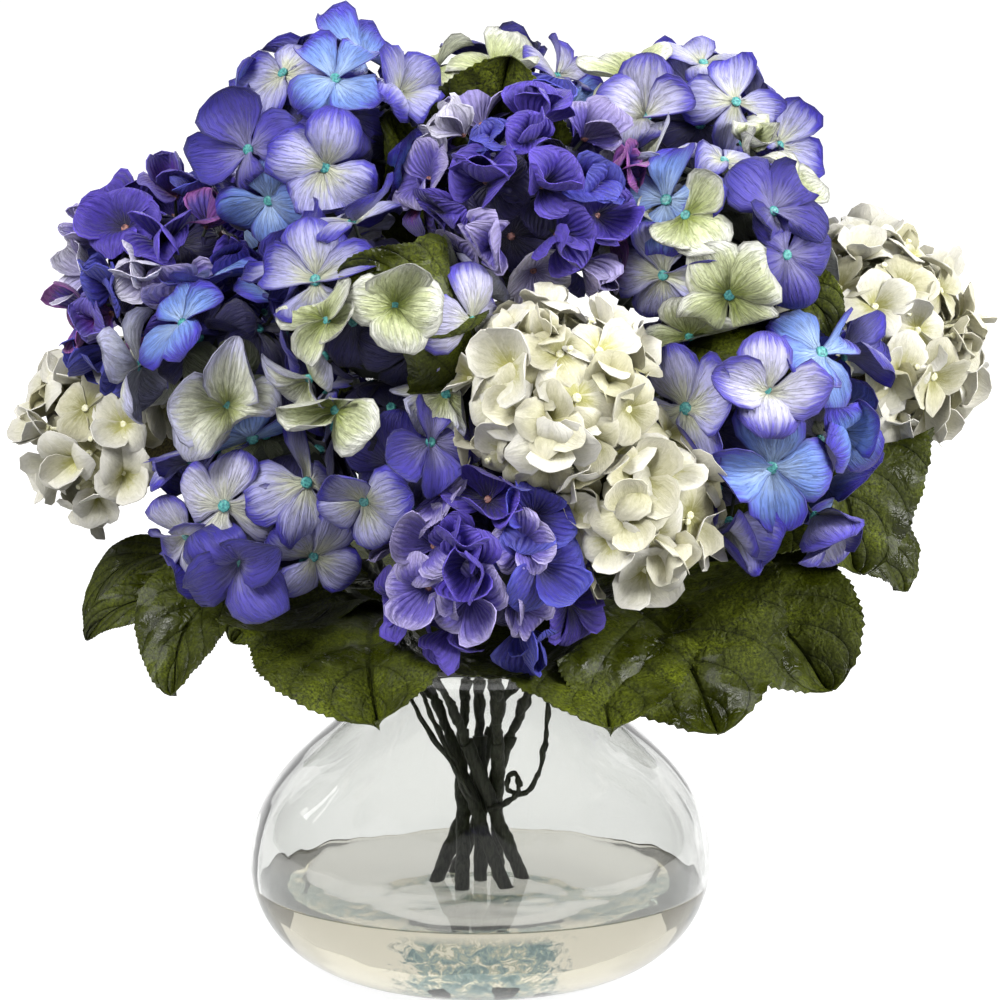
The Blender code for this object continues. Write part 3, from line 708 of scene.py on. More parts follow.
def moulded_plastic(name, dark, light, roughness):
    """Injection-moulded polyethylene: softly glossy, grainy, a little uneven in colour."""
    finish, tree, shader = new_finish(name, {"Roughness": roughness})
    flat = add_node(tree, "TexCoord", {}, {})
    grain = add_node(tree, "TexNoise", {"Scale": 900.0, "Detail": 2.0},
                     {"Vector": flat.outputs["Object"]})
    tone = add_node(tree, "ValToRGB", {"stops": ((0.35, dark), (0.65, light))}, {"Fac": grain})
    raised = add_node(tree, "Bump", {"Strength": 0.6, "Distance": 0.6 * MM}, {"Height": grain})
    plug(shader, {"Base Color": tone, "Normal": raised})
    return finish


teal_plastic = moulded_plastic("moulded_teal_polyethylene", "#1f6a72", "#5fb3ab", 0.4)
green_wire = moulded_plastic("green_wound_paper", "#0d100a", "#20271a", 0.85)
teal_bead = moulded_bead("teal_bead", 2.7 * MM, 1.8 * MM, teal_plastic)
green_stalk = floret_stalk("green_stalk", 0.7 * MM, green_wire)

# Dyes, from the throat over the middle to the rim. "shadow" and "green shadow" are painted shade:
# dark copies for the florets deep in a bloom
DYES_AND_PAINTED_SHADE = {
    "violet": ("#d2d4b8", "#aaa9da", "#3e33b4"),
    "pale": ("#dadbc6", "#c4c2e2", "#564cbe"),
    "sky": ("#a9c4ee", "#7393de", "#443ac0"),
    "green": ("#93a04a", "#cbd2a2", "#e8e9dd"),
    "cream": ("#b3bb78", "#dfe1cc", "#c6c6e6"),
    "deep": ("#8a86b8", "#463ca4", "#2e268e"),
    "shadow": ("#2a2850", "#221d58", "#181344"),
    "green shadow": ("#2f3718", "#3c4424", "#454a34"),
}
BLUE_MIX = {
    "blue_bloom_top_left": ("violet", "violet", "pale", "sky", "deep"),
    "blue_bloom_crown": ("green", "pale", "violet", "deep"),
    "blue_bloom_front": ("violet", "green", "cream", "deep"),
    "blue_bloom_heart": ("green", "cream", "violet", "violet"),
    "blue_bloom_right": ("violet", "sky", "deep", "pale"),
    "blue_bloom_right_high": ("green", "violet", "cream", "sky"),
    "blue_bloom_top_right": ("violet", "pale", "green", "deep"),
    "blue_bloom_back_high": ("violet", "sky", "pale", "green"),
    "blue_bloom_back_left": ("violet", "pale", "sky", "deep"),
    "blue_bloom_left_high": ("sky", "violet", "green", "pale"),
    "blue_bloom_left_low": ("violet", "violet", "pale", "deep"),
    "blue_bloom_left": ("violet", "cream", "sky", "green"),
}
# The florets that show best, by where their beads are in the photograph:
# (across, down, turn of the first petal in degrees, size, dye)
SHOWN_LARGE = (
    (325, 167, 60, 1.05, "violet"), (363, 57, 60, 1.0, "sky"), (396, 96, 45, 0.9, "violet"),
    (317, 281, 96, 1.05, "violet"), (395, 306, -10, 0.9, "green"), (328, 320, 150, 0.8, "green"),
    (470, 322, 80, 1.05, "pale"), (311, 377, 40, 0.85, "cream"), (337, 411, 61, 0.95, "green"),
    (228, 405, 75, 1.2, "cream"), (252, 437, 200, 1.1, "sky"), (225, 506, -98, 1.1, "pale"),
    (306, 483, 94, 1.05, "violet"), (365, 500, 30, 0.95, "violet"), (430, 442, 10, 0.9, "deep"),
    (646, 118, 77, 1.05, "pale"), (704, 60, 20, 0.85, "violet"), (575, 108, 135, 0.9, "sky"),
    (667, 201, 90, 1.05, "sky"),
    (664, 275, 86, 0.95, "violet"), (729, 294, 42, 1.05, "green"), (686, 216, 45, 0.9, "green"),
    (772, 212, 60, 0.95, "deep"), (785, 255, 20, 0.95, "deep"), (811, 180, 30, 0.8, "green"),
    (742, 143, 10, 0.85, "green"), (735, 103, 80, 0.9, "violet"), (777, 146, 60, 0.9, "violet"),
    (687, 409, 112, 1.2, "violet"), (820, 354, 125, 1.15, "sky"), (771, 467, -95, 1.15, "sky"),
    (813, 514, 20, 0.95, "pale"), (767, 393, -90, 1.0, "pale"), (730, 520, 0, 1.1, "violet"),
    (428, 62, 30, 0.8, "green"), (560, 74, 80, 0.8, "pale"), (240, 560, -60, 1.1, "deep"),
    (690, 335, 20, 0.85, "green"), (250, 150, 200, 1.0, "deep"), (335, 80, -60, 0.95, "sky"),
    (567, 274, -70, 0.9, "deep"), (270, 200, -90, 0.95, "sky"), (445, 395, -40, 0.9, "cream"),
)


def line_of_sight(across, down):
    """The direction in which the camera sees a pixel of the photograph."""
    ray = view_line * FOCAL_PIXELS + Vector((across - PHOTO_MIDDLE, 0, 0))
    return (ray + view_up * (PHOTO_MIDDLE - down)).normalized()


def blooms_of(kind):
    """The names of the blooms of one kind."""
    return [name for name in BLOOMS if name.split("_")[0] == kind]


def seat_in_view(kind, across, down, sunk):
    """The bloom of this kind that a pixel falls on, and the direction of that spot from its
    centre. Past the edge of every bloom it is the nearest spot on the nearest one."""
    ray = line_of_sight(across, down)
    best = None
    for name in blooms_of(kind):
        centre, radius, _ = bloom_ball(name)
        radius -= sunk
        ahead = (centre - camera_place).dot(ray)
        nearest = camera_place + ray * ahead
        miss = (nearest - centre).length
        if miss < radius:
            spot = nearest - ray * math.sqrt(radius**2 - miss**2)
        else:
            spot = centre + (nearest - centre).normalized() * radius
        buried = max((offset_past(spot, plane) for plane in neighbour_planes(name)), default=-1)
        # The best bloom is under the pixel, not buried in the next one there, and near the camera
        score = max(miss - radius, 0) * 4 + max(buried, 0) * 2 + (spot - camera_place).length * 0.2
        if best is None or score < best[0]:
            best = (score, name, (spot - centre).normalized())
    return best[1], best[2]


def offset_past(point, plane):
    """How far a point lies past one of the planes between blooms."""
    return plane[0].dot(point) - plane[1]


def seen_at(place):
    """The pixel of the photograph that a place falls on."""
    away = place - camera_place
    scale = FOCAL_PIXELS / away.dot(view_line)
    return PHOTO_MIDDLE + away.x * scale, PHOTO_MIDDLE - away.dot(view_up) * scale


def turned_to(axis, hint):
    """A frame with +Z along the axis and +X as near to the hint as it can be, as a matrix."""
    side = (hint - axis * hint.dot(axis)).normalized()
    return np.array(Matrix((side, axis.cross(side), axis)).transposed())


def shown_florets(kind, rows, sunk):
    """(bloom, direction from its centre, depth, frame, size, dye) of the florets in the table,
    each facing out of its bloom and a little towards the camera."""
    found = []
    for across, down, turn, size, dye in rows:
        name, ray = seat_in_view(kind, across, down, sunk)
        to_eye = (camera_place - bloom_ball(name)[0]).normalized()
        axis = (ray * 0.6 + to_eye * 0.4).normalized()
        angle = math.radians(turn)
        hint = Vector((math.cos(angle), 0, 0)) + view_up * math.sin(angle)
        found.append((name, ray, sunk, turned_to(axis, hint), size, dye))
    return found


# Where a leaf or the stems show instead of florets: (left, top, right, bottom) in the photograph,
# and the blooms that are bare there
BARE = (
    (430, 20, 556, 126, "top"), (380, -60, 620, 66, "crown"), (370, 626, 630, 780, "front_low"),
    (120, 578, 340, 780, "left_low"), (640, 548, 900, 700, "right"),
    (540, 574, 720, 700, "front_right"), (698, 400, 800, 640, "front_right"),
    (590, -40, 740, 48, "top_right"), (362, 208, 486, 284, "blue_bloom_front"),
    (845, 380, 960, 520, "blue_bloom_right"),
)


def kept_bare(name, seat):
    """Whether the bloom is bare at this seat, on the side that the camera sees."""
    across, down = seen_at(seat)
    return seat.y < BACK and any(
        left < across < right and top < down < bottom and name.endswith(where)
        for left, top, right, bottom, where in BARE)


def more_florets(kind, shown, sunk, spacing, mixes, chance):
    """Florets at a depth under the blooms' faces, over all that is still open, a spacing apart.
    Each lies a little higher or lower than its neighbours, and faces a little aside."""
    taken = []
    for name, ray, depth, *_ in shown:
        centre, radius, _ = bloom_ball(name)
        taken.append(centre + ray * (radius - depth))
    florets = []
    for name in blooms_of(kind):
        centre, radius, axis = bloom_ball(name)
        planes = neighbour_planes(name)
        rotation = axis.to_track_quat("Z", "Y").to_matrix()
        for trial in range(SEAT_TRIALS):  # seats from the axis outwards, turned by the golden angle
            height = 1 - (trial + 0.5) / SEAT_TRIALS * (1 - math.cos(COVERED))
            across = math.sqrt(1 - height**2)
            around = trial * math.pi * (3 - math.sqrt(5))
            ray = rotation @ Vector((across * math.cos(around), across * math.sin(around), height))
            depth = sunk + chance.uniform(-2, 3) * MM
            seat = centre + ray * (radius - depth)
            if any(offset_past(seat, plane) > -1 * MM for plane in planes) or kept_bare(name, seat):
                continue
            if min(((seat - place).length for place in taken), default=1) < spacing:
                continue
            taken.append(seat)
            facing = (ray + Vector(chance.uniform(-0.4, 0.4) for _ in range(3))).normalized()
            hint = Vector(chance.uniform(-1, 1) for _ in range(3))
            size, dye = chance.uniform(0.86, 1.06), chance.choice(mixes[name])
            florets.append((name, ray, depth, turned_to(facing, hint), size, dye))
    return florets


def set_on_ball(points, seat, axis, centre, planes, wrap):
    """Lays points over the bloom's ball, and bends them up along the planes to its neighbours."""
    away = points - seat
    height = away @ axis
    flat = points - np.outer(height, axis) - centre
    reach = np.linalg.norm(flat, axis=1, keepdims=True)
    over = centre + flat / reach * (np.linalg.norm(seat - centre) + height[:, None])
    points = points * (1 - wrap) + over * wrap
    for attempt in range(3):
        for normal, offset in planes:
            normal = np.array(normal)
            past = points @ normal - offset
            held = np.where(past > 0, past - PETAL_BEND * (1 - np.exp(-past / PETAL_BEND)), 0)
            slide = axis - normal * (axis @ normal)
            points = points - held[:, None] * (normal - slide * (0.5 if attempt == 0 else 0))
    return points


def placed(template, points, colours):
    """A copy of a piece with its own mesh, its points at their final place, and its colours, which are
    dyes and, for some florets, painted shade.
    """
    made = template.copy()
    made.data = template.data.copy()
    made.data.vertices.foreach_set("co", points.ravel())
    for part, colour in colours.items():
        layer = made.data.attributes.new(part, "FLOAT_COLOR", "POINT")
        layer.data.foreach_set("color", np.tile(colour, (len(points), 1)).ravel())
    bpy.context.scene.collection.objects.link(made)
    return made


def points_of(template):
    """A template's vertices, one row each."""
    found = np.zeros(3 * len(template.data.vertices))
    template.data.vertices.foreach_get("co", found)
    return found.reshape(-1, 3)


def spun(angle, axis):
    """The matrix of a turn about one of the axes."""
    return np.array(Matrix.Rotation(angle, 3, axis))


def handled(points, chance):
    """A petal's points with the twist, the sweep and the waved edge that handling gives it."""
    length, half = points[:, 1].max(), abs(points[:, 0]).max()
    along, across = points[:, 1] / length, points[:, 0] / half
    twist, sweep = chance.uniform(-0.5, 0.5), chance.uniform(-0.16, 0.16)
    first, second = chance.uniform(0, math.tau), chance.uniform(0, math.tau)
    wave = np.sin(3.6 * across + 3 * along + first) * along**2 * 0.14
    wave += np.sin(5 * along + second) * abs(across) ** 1.5 * 0.10 * np.sign(across)
    made = points.copy()
    made[:, 0] += sweep * length * along**2
    made[:, 2] += half * (wave + twist * across * along)
    return made


def tucked(points, throats):
    """Presses a petal under the throats of the florets round its own, so that their beads show."""
    for throat, facing in throats:
        away = points - throat
        height = away @ facing
        off = np.linalg.norm(away - np.outer(height, facing), axis=1)
        room = np.maximum(off - THROAT_RADIUS, 0) * THROAT_SLOPE - THROAT_DEPTH
        points = points - np.outer(np.clip(height - room, 0, None), facing)
    return points


def stalk_line(name, ray, depth):
    """The frame, foot and length of a floret's wire, from the bloom's heart out along a ray."""
    centre, radius, axis = bloom_ball(name)
    rooted = core_radius(name) * STALK_ROOT
    foot = np.array(centre) + np.array(ray) * rooted
    return turned_to(ray, axis + STALK_HINT), foot, radius - depth - rooted


def assemble_blooms(kind, florets, buds, pieces, habit, dyes, chance):
    """Sets every floret of this kind on its bloom and joins each bloom into one piece. Florets that
    lie deeper than the habit's "pressed" are held flat, or bent back, by those above them."""
    petals, bead, stalk, heart = pieces
    shapes = [points_of(petal) for petal in petals]
    bead_points, stalk_points, heart_points = points_of(bead), points_of(stalk), points_of(heart)
    for name in blooms_of(kind):
        centre, radius, _ = bloom_ball(name)
        planes = neighbour_planes(name)
        middle = np.array(centre)
        throats = [(middle + np.array(ray) * (radius - depth), frame_of[:, 2])
                   for owner, ray, depth, frame_of, *_ in florets
                   if owner == name and depth < habit["pressed"] and habit["throats show"]]
        parts = [placed(heart, heart_points * core_radius(name) + middle, {})]
        for _, ray, depth, frame_of, size, dye in [row for row in florets if row[0] == name]:
            seat, facing = np.array(centre + ray * (radius - depth)), frame_of[:, 2]
            on_top = depth < habit["pressed"]
            colours = [linear(code) for code in dyes[dye]]
            closed = chance.random() < habit["closed share"]
            low, high = habit["closed tilt"] if closed else habit["open tilt"]
            lean = chance.uniform(low, high) if on_top else chance.uniform(-16, -4)
            for petal in range(4):
                choice = chance.choices(range(len(shapes)), weights=(4, 4, 3, 2)[:len(shapes)])[0]
                choice = choice if on_top else 0
                tilt = math.radians(lean + chance.uniform(-10, 10))
                angle = math.pi / 2 * petal + chance.uniform(-0.2, 0.2) - math.pi / 2
                stretch = np.diag([chance.uniform(0.88, 1.1), chance.uniform(0.88, 1.06), 1.0]) * size
                turn = spun(angle, "Z") @ spun(tilt, "X") @ spun(chance.uniform(-0.3, 0.3), "Y") @ stretch
                local = handled(shapes[choice], chance) @ turn.T
                local = local + np.array((0, 0, habit["lift"] * (petal % 2)))
                points = set_on_ball(
                    local @ frame_of.T + seat, seat, facing, middle, planes, habit["wrap"])
                points = tucked(points, [row for row in throats if np.linalg.norm(row[0] - seat) > MM])
                shade = chance.uniform(*habit["shade"])
                tones = {part: [*(shade * value for value in colour[:3]), chance.random()]
                         for part, colour in zip(("throat", "middle", "rim"), colours)}
                parts.append(placed(petals[choice], points, tones))
            local = bead_points * size + np.array((0, 0, habit["lift"] + BEAD_RISE))
            parts.append(placed(bead, local @ frame_of.T + seat, {}))
            rod, foot, length = stalk_line(name, ray, depth)
            parts.append(placed(stalk, stalk_points * (1, 1, length) @ rod.T + foot, {}))
        for _, ray, depth, _, size, _ in [row for row in buds if row[0] == name]:
            rod, foot, length = stalk_line(name, ray, depth)
            parts.append(placed(stalk, stalk_points * (1, 1, length) @ rod.T + foot, {}))
            local = bead_points * BUD_SIZE * size @ rod.T
            parts.append(placed(bead, local + foot + np.array(ray) * length, {}))
        whole = joined(name.replace("bloom", "hydrangea"), parts)
        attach(whole, "root")
        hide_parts(name)


def tied_heart(name, cloth):
    """The knot of wound wires under a bloom's florets: a ball of radius 1 m, drawn into ribs."""
    bpy.ops.object.select_all(action="DESELECT")
    meridians = 16
    bpy.ops.mesh.primitive_uv_sphere_add(segments=meridians, ring_count=8, radius=1)
    made = named(name)
    angles = [math.atan2(vertex.co.y, vertex.co.x) for vertex in made.data.vertices]
    pick(made, [int(round(angle / math.tau * meridians)) % 2 == 0 for angle in angles])
    bpy.ops.transform.resize(value=(0.86, 0.86, 0.97), center_override=(0, 0, 0))
    return smoothed(made, cloth)


chance = random.Random(41)
wound_heart = tied_heart("wound_heart", green_wire)
# The florets deep under the faces are drawn mostly in painted shade
under = dict.fromkeys(BLOOMS, ("shadow", "shadow", "deep", "green shadow"))
florets = shown_florets("blue", SHOWN_LARGE, 10 * MM)
florets += more_florets("blue", florets, 12 * MM, 32 * MM, BLUE_MIX, chance)
florets += more_florets("blue", [], 24 * MM, 25 * MM, under, chance)
# The petals' tilt in degrees in open and in closed florets, and the share of florets that is closed,
# how far petals follow the ball, every other petal's lift over the next, the depth from which
# florets are held down, how dark single petals get, and whether the throats are kept free
LARGE_HABIT = {
    "open tilt": (-14, 24), "closed tilt": (30, 52), "closed share": 0.26, "wrap": 0.4,
    "lift": 0.8 * MM, "pressed": 20 * MM, "shade": (0.74, 1.0), "throats show": True,
}
pieces = (large_petals, teal_bead, green_stalk, wound_heart)
assemble_blooms("blue", florets, [], pieces, LARGE_HABIT, DYES_AND_PAINTED_SHADE, chance)


# Blooms with small purple florets
# The same make with smaller petals, about 20 mm long, heat-pleated and cupped so that a floret looks
# like a little trumpet, dyed deep purple with paler rims, round a moulded brown bud.
purple_cloth = dyed_cloth("dyed_polyester_small_purple_petals", 18, 9, 0.7, 1.2)
purple_petals = [
    stamped_petal("purple_open", [(0, 0), (0.2, 0.3), (0.9, 0.6), (2.2, 0.2)],
                  [(0, 1.2, 0), (4.2, 4.4, 0.8), (8.8, 9.2, 1.6), (13, 12, 2.2), (16.8, 12.6, 2.2),
                   (19.6, 10.2, 1.6), (21, 5.6, 0.8)], purple_cloth),
    stamped_petal("purple_cupped", [(0, 0), (0.2, 0.8), (0.8, 2.8), (2.0, 6.0)],
                  [(0, 1.2, 0), (3.8, 4.4, 1.4), (8, 8.8, 3.4), (12, 11.2, 6), (15.4, 11.6, 9),
                   (17.8, 9.4, 12), (19, 5, 13.6)], purple_cloth),
    stamped_petal("purple_curled", [(0, 0), (0.2, 0.4), (0.8, 1.2), (2.0, 1.4)],
                  [(0, 1.2, 0), (3.8, 4.4, 2.2), (7.6, 8.8, 4.6), (11.2, 11.4, 6), (14.8, 11.8, 6),
                   (17.8, 9.6, 4.6), (19.6, 5.4, 2.4)], purple_cloth),
]
brown_plastic = moulded_plastic("moulded_brown_polyethylene", "#4c2a2c", "#a9746a", 0.45)
brown_bud = moulded_bead("brown_bud", 1.9 * MM, 2.4 * MM, brown_plastic)
# Purple dyes; "shadow" is painted shade, a dark copy for the florets deep in a bloom
PURPLE_DYES_AND_PAINTED_SHADE = {
    "purple": ("#1c1148", "#3a269a", "#5e4ac4"),
    "lilac": ("#372a88", "#6c5dbe", "#b6abe2"),
    "indigo": ("#1a1456", "#30289a", "#4a4cbc"),
    "plum": ("#26124c", "#453097", "#93509e"),
    "white": ("#8f86c4", "#b9b3da", "#dedaf0"),
    "crimson": ("#a01050", "#54309a", "#6a5cbc"),
    "shadow": ("#120b30", "#1c154c", "#2a2160"),
}
SHOWN_PURPLE = (
    (488, 501, 90, 1.0, "purple"), (466, 547, 20, 0.9, "purple"), (474, 566, 0, 1.0, "purple"),
    (532, 516, 70, 1.0, "indigo"), (521, 543, 100, 0.8, "lilac"), (470, 596, -45, 1.0, "lilac"),
    (537, 563, -50, 1.1, "indigo"), (443, 495, 120, 1.05, "lilac"), (436, 546, 60, 0.95, "lilac"),
    (431, 586, 80, 1.05, "lilac"), (582, 560, -30, 1.0, "indigo"), (556, 490, 30, 1.0, "purple"),
    (577, 524, 10, 1.05, "plum"), (572, 602, -80, 1.05, "purple"), (501, 461, 95, 0.95, "purple"),
    (403, 602, 200, 1.0, "purple"),
    (494, 240, 50, 1.1, "lilac"), (487, 181, 160, 1.1, "purple"), (496, 150, 20, 0.85, "indigo"),
    (464, 136, 110, 0.8, "white"), (528, 144, 70, 0.8, "purple"), (541, 186, -40, 1.0, "purple"),
    (582, 190, 60, 1.0, "indigo"), (608, 181, -20, 1.1, "plum"), (432, 181, 100, 1.0, "lilac"),
    (451, 211, 190, 1.0, "purple"), (585, 138, 95, 0.9, "lilac"), (594, 215, -60, 1.0, "purple"),
    (408, 200, 70, 1.0, "crimson"), (385, 216, 180, 0.9, "lilac"),
    (166, 248, 140, 1.05, "purple"), (218, 209, 60, 0.9, "white"), (261, 246, 90, 1.1, "plum"),
    (231, 268, 200, 1.05, "purple"), (183, 297, 30, 1.05, "lilac"), (146, 274, 110, 0.9, "white"),
    (127, 230, 80, 1.05, "purple"), (175, 195, 60, 1.0, "crimson"), (86, 274, 150, 0.9, "white"),
    (117, 284, 70, 0.95, "indigo"), (112, 314, 160, 1.0, "crimson"), (80, 312, 200, 0.95, "plum"),
    (190, 330, -20, 1.0, "purple"), (234, 300, -30, 1.05, "indigo"), (140, 355, 230, 1.05, "indigo"),
    (169, 349, 20, 1.0, "plum"), (196, 203, 80, 0.9, "indigo"), (92, 230, 150, 0.9, "lilac"),
)
purples = ("purple", "indigo", "purple", "lilac", "plum", "purple", "crimson", "white", "lilac")
# The florets deep under the faces are all drawn in painted shade
mix, under = dict.fromkeys(BLOOMS, purples), dict.fromkeys(BLOOMS, ("shadow",))
florets = shown_florets("purple", SHOWN_PURPLE, 14 * MM)
florets += more_florets("purple", florets, 15 * MM, 20 * MM, mix, chance)
florets += more_florets("purple", [], 25 * MM, 22 * MM, under, chance)
PURPLE_HABIT = {
    "open tilt": (4, 30), "closed tilt": (36, 62), "closed share": 0.6, "wrap": 0.35,
    "lift": 0.6 * MM, "pressed": 21 * MM, "shade": (0.74, 1.0), "throats show": False,
}
pieces = (purple_petals, brown_bud, green_stalk, wound_heart)
assemble_blooms("purple", florets, [], pieces, PURPLE_HABIT, PURPLE_DYES_AND_PAINTED_SHADE, chance)


# Blooms with small white florets
# Cream cloth florets of about 37 mm with slightly pointed petals, a moulded cream bead each, and
# round cream buds on stalks between them.
white_cloth = dyed_cloth("dyed_polyester_small_white_petals", 10, 0, 0.25, 1.0)
white_petals = [
    stamped_petal("white_open", [(0, 0), (0.3, 0.6), (2.1, 0.7)],
                  [(0, 1.3, 0), (4.1, 4.3, 0.7), (8.7, 8.2, 1.6), (13.2, 10, 1.9), (17.3, 8, 1.4),
                   (19.8, 2.7, 0.5)], white_cloth),
    stamped_petal("white_rolled", [(0, 0), (0.3, 0.2), (2.1, -1.6)],
                  [(0, 1.3, 0), (3.9, 4.3, 2.1), (7.8, 8.2, 3.6), (11.9, 9.8, 3.6), (15.7, 7.8, 1.8),
                   (18.2, 2.7, -0.9)], white_cloth),
    stamped_petal("white_cupped", [(0, 0), (0.5, 1.3), (1.5, 3.2)],
                  [(0, 1.3, 0), (4.1, 4.3, 1.4), (8.4, 8.2, 3.4), (12.3, 9.3, 5.9), (15.5, 7.3, 8.4),
                   (17.6, 2.3, 10.3)], white_cloth),
]
cream_plastic = moulded_plastic("moulded_cream_polyethylene", "#d9d6a4", "#f4f2da", 0.4)
cream_bead = moulded_bead("cream_bead", 2.0 * MM, 1.7 * MM, cream_plastic)
cream_stalk = floret_stalk("cream_stalk", 0.8 * MM, cream_plastic)
straw_wire = moulded_plastic("straw_wound_paper", "#3a3518", "#756a38", 0.85)
straw_heart = tied_heart("straw_heart", straw_wire)
# White dyes: "shaded" and "depth" are painted shade, darker and yellower copies of "cream" for some
# florets at the faces and for those deep in a bloom
WHITE_DYES_AND_PAINTED_SHADE = {
    "cream": ("#b9b66c", "#e5e2cb", "#f4f1e5"),
    "shaded": ("#9d9a58", "#d3cfac", "#e8e4cd"),
    "depth": ("#8f8c54", "#c8c49c", "#dbd7b6"),
}
SHOWN_WHITE = (
    (511, 369, 60, 1.15, "cream"), (560, 355, 30, 1.0, "shaded"), (598, 352, 100, 1.0, "cream"),
    (528, 399, 10, 1.05, "shaded"), (576, 398, 45, 1.15, "cream"), (549, 421, 70, 0.95, "shaded"),
    (551, 442, -80, 1.1, "cream"), (626, 409, 60, 1.05, "shaded"), (590, 437, 20, 0.9, "shaded"),
    (614, 456, 80, 1.0, "cream"), (640, 480, -30, 1.15, "shaded"), (663, 470, 40, 1.0, "cream"),
    (628, 513, 200, 1.0, "shaded"), (645, 527, -70, 1.1, "cream"), (688, 515, 30, 1.05, "shaded"),
    (644, 568, -60, 1.1, "cream"), (474, 440, 180, 1.0, "shaded"), (606, 322, 80, 0.9, "cream"),
    (548, 337, 40, 0.8, "shaded"), (500, 402, 200, 0.95, "cream"), (665, 545, -20, 1.0, "shaded"),
    (611, 540, 200, 0.9, "cream"),
)
# About one floret in five at the faces, and every one under them, is in painted shade
mix = dict.fromkeys(BLOOMS, ("cream", "cream", "cream", "cream", "shaded"))
under = dict.fromkeys(BLOOMS, ("depth", "depth", "shaded"))
florets = shown_florets("white", SHOWN_WHITE, 11 * MM)
florets += more_florets("white", florets, 12 * MM, 19.5 * MM, mix, chance)
florets += more_florets("white", [], 20 * MM, 18 * MM, under, chance)
buds = more_florets("white", [], 7 * MM, 24 * MM, mix, chance)
WHITE_HABIT = {
    "open tilt": (-8, 24), "closed tilt": (30, 56), "closed share": 0.36, "wrap": 0.4,
    "lift": 0.5 * MM, "pressed": 19 * MM, "shade": (0.7, 0.86), "throats show": False,
}
pieces = (white_petals, cream_bead, cream_stalk, straw_heart)
assemble_blooms("white", florets, buds, pieces, WHITE_HABIT, WHITE_DYES_AND_PAINTED_SHADE, chance)
for template in (*large_petals, *purple_petals, *white_petals, teal_bead, brown_bud, cream_bead,
                 green_stalk, cream_stalk, wound_heart, straw_heart):
    bpy.data.objects.remove(template)


# Leaves
# Broad serrated blades of woven polyester, printed green, pressed with veins and dipped in clear
# size, which dries glossy. Each hangs on a coated wire that leaves a branch above the vase's lip.
LEAF_ROWS = 104
LEAF_COLUMNS = 14
LEAF_THICKNESS = 0.5 * MM
PETIOLE_RADIUS = 0.9 * MM
PETIOLE_LENGTH = 8 * MM
VEIN_PAIRS = 7
# name: (bloom whose branch carries it, how far up it, shoulder in mm, tip in mm, width in mm, and
# how far it is kept out of the blooms' balls in mm)
LEAVES = {
    "leaf_front_left": ("blue_bloom_left_low", 0.55, (-56, -138, 208), (-44, -168, 153), 120, 3),
    "leaf_front_right": ("white_bloom_front_right", 0.42, (52, -142, 198), (58, -172, 151), 110, 3),
    "leaf_right_front": ("white_bloom_front_right", 0.60, (84, -136, 214), (106, -152, 147), 122, 3),
    "leaf_right_low": ("blue_bloom_right", 0.42, (126, -96, 222), (157, -99, 156), 106, 3),
    "leaf_right_high": ("white_bloom_right", 0.70, (178, -76, 284), (170, -64, 206), 104, 3),
    "leaf_right": ("white_bloom_right", 0.55, (194, 24, 230), (198, 30, 178), 70, 3),
    "leaf_right_back": ("purple_bloom_back_right", 0.55, (136, 92, 204), (150, 108, 138), 92, 3),
    "leaf_back_right": ("white_bloom_back", 0.50, (60, 136, 200), (62, 168, 134), 92, 3),
    "leaf_back_left": ("blue_bloom_back_left", 0.62, (-56, 134, 206), (-52, 168, 136), 92, 3),
    "leaf_left_back": ("blue_bloom_back_left", 0.42, (-146, 76, 196), (-150, 96, 141), 84, 3),
    "leaf_left": ("white_bloom_left", 0.58, (-186, 14, 216), (-184, 8, 162), 24, 3),
    "leaf_left_low": ("white_bloom_left", 0.40, (-168, -46, 206), (-182, -30, 166), 26, 3),
    "leaf_left_front": ("blue_bloom_left", 0.46, (-146, -72, 214), (-138, -92, 152), 58, 3),
    "leaf_top": ("blue_bloom_crown", 0.85, (0, -78, 386), (14, -76, 442), 84, -20),
}
# Smaller leaves that the solids leave out: under the left bloom, and between the upper blooms
SMALL_LEAVES = {
    "leaf_small_left": ("blue_bloom_left_low", 0.60, (-92, -118, 210), (-110, -118, 182), 44, 3),
    "leaf_glossy_upper": ("blue_bloom_front", 0.98, (0, -182, 354), (-60, -168, 356), 46, -9),
    "leaf_thin_right": ("blue_bloom_right_high", 0.72, (146, -116, 372), (158, -110, 318), 36, -8),
    "leaf_crown_left": ("blue_bloom_crown", 0.70, (-34, -60, 372), (-40, -72, 418), 44, -20),
    "leaf_right_inner": ("blue_bloom_right_high", 0.60, (128, -110, 330), (150, -118, 300), 46, -16),
    "leaf_between_back": ("purple_bloom_back_high", 0.62, (48, 118, 300), (56, 136, 246), 62, -8),
    "leaf_between_left": ("blue_bloom_left_high", 0.60, (-52, 112, 304), (-60, 130, 250), 62, -8),
}


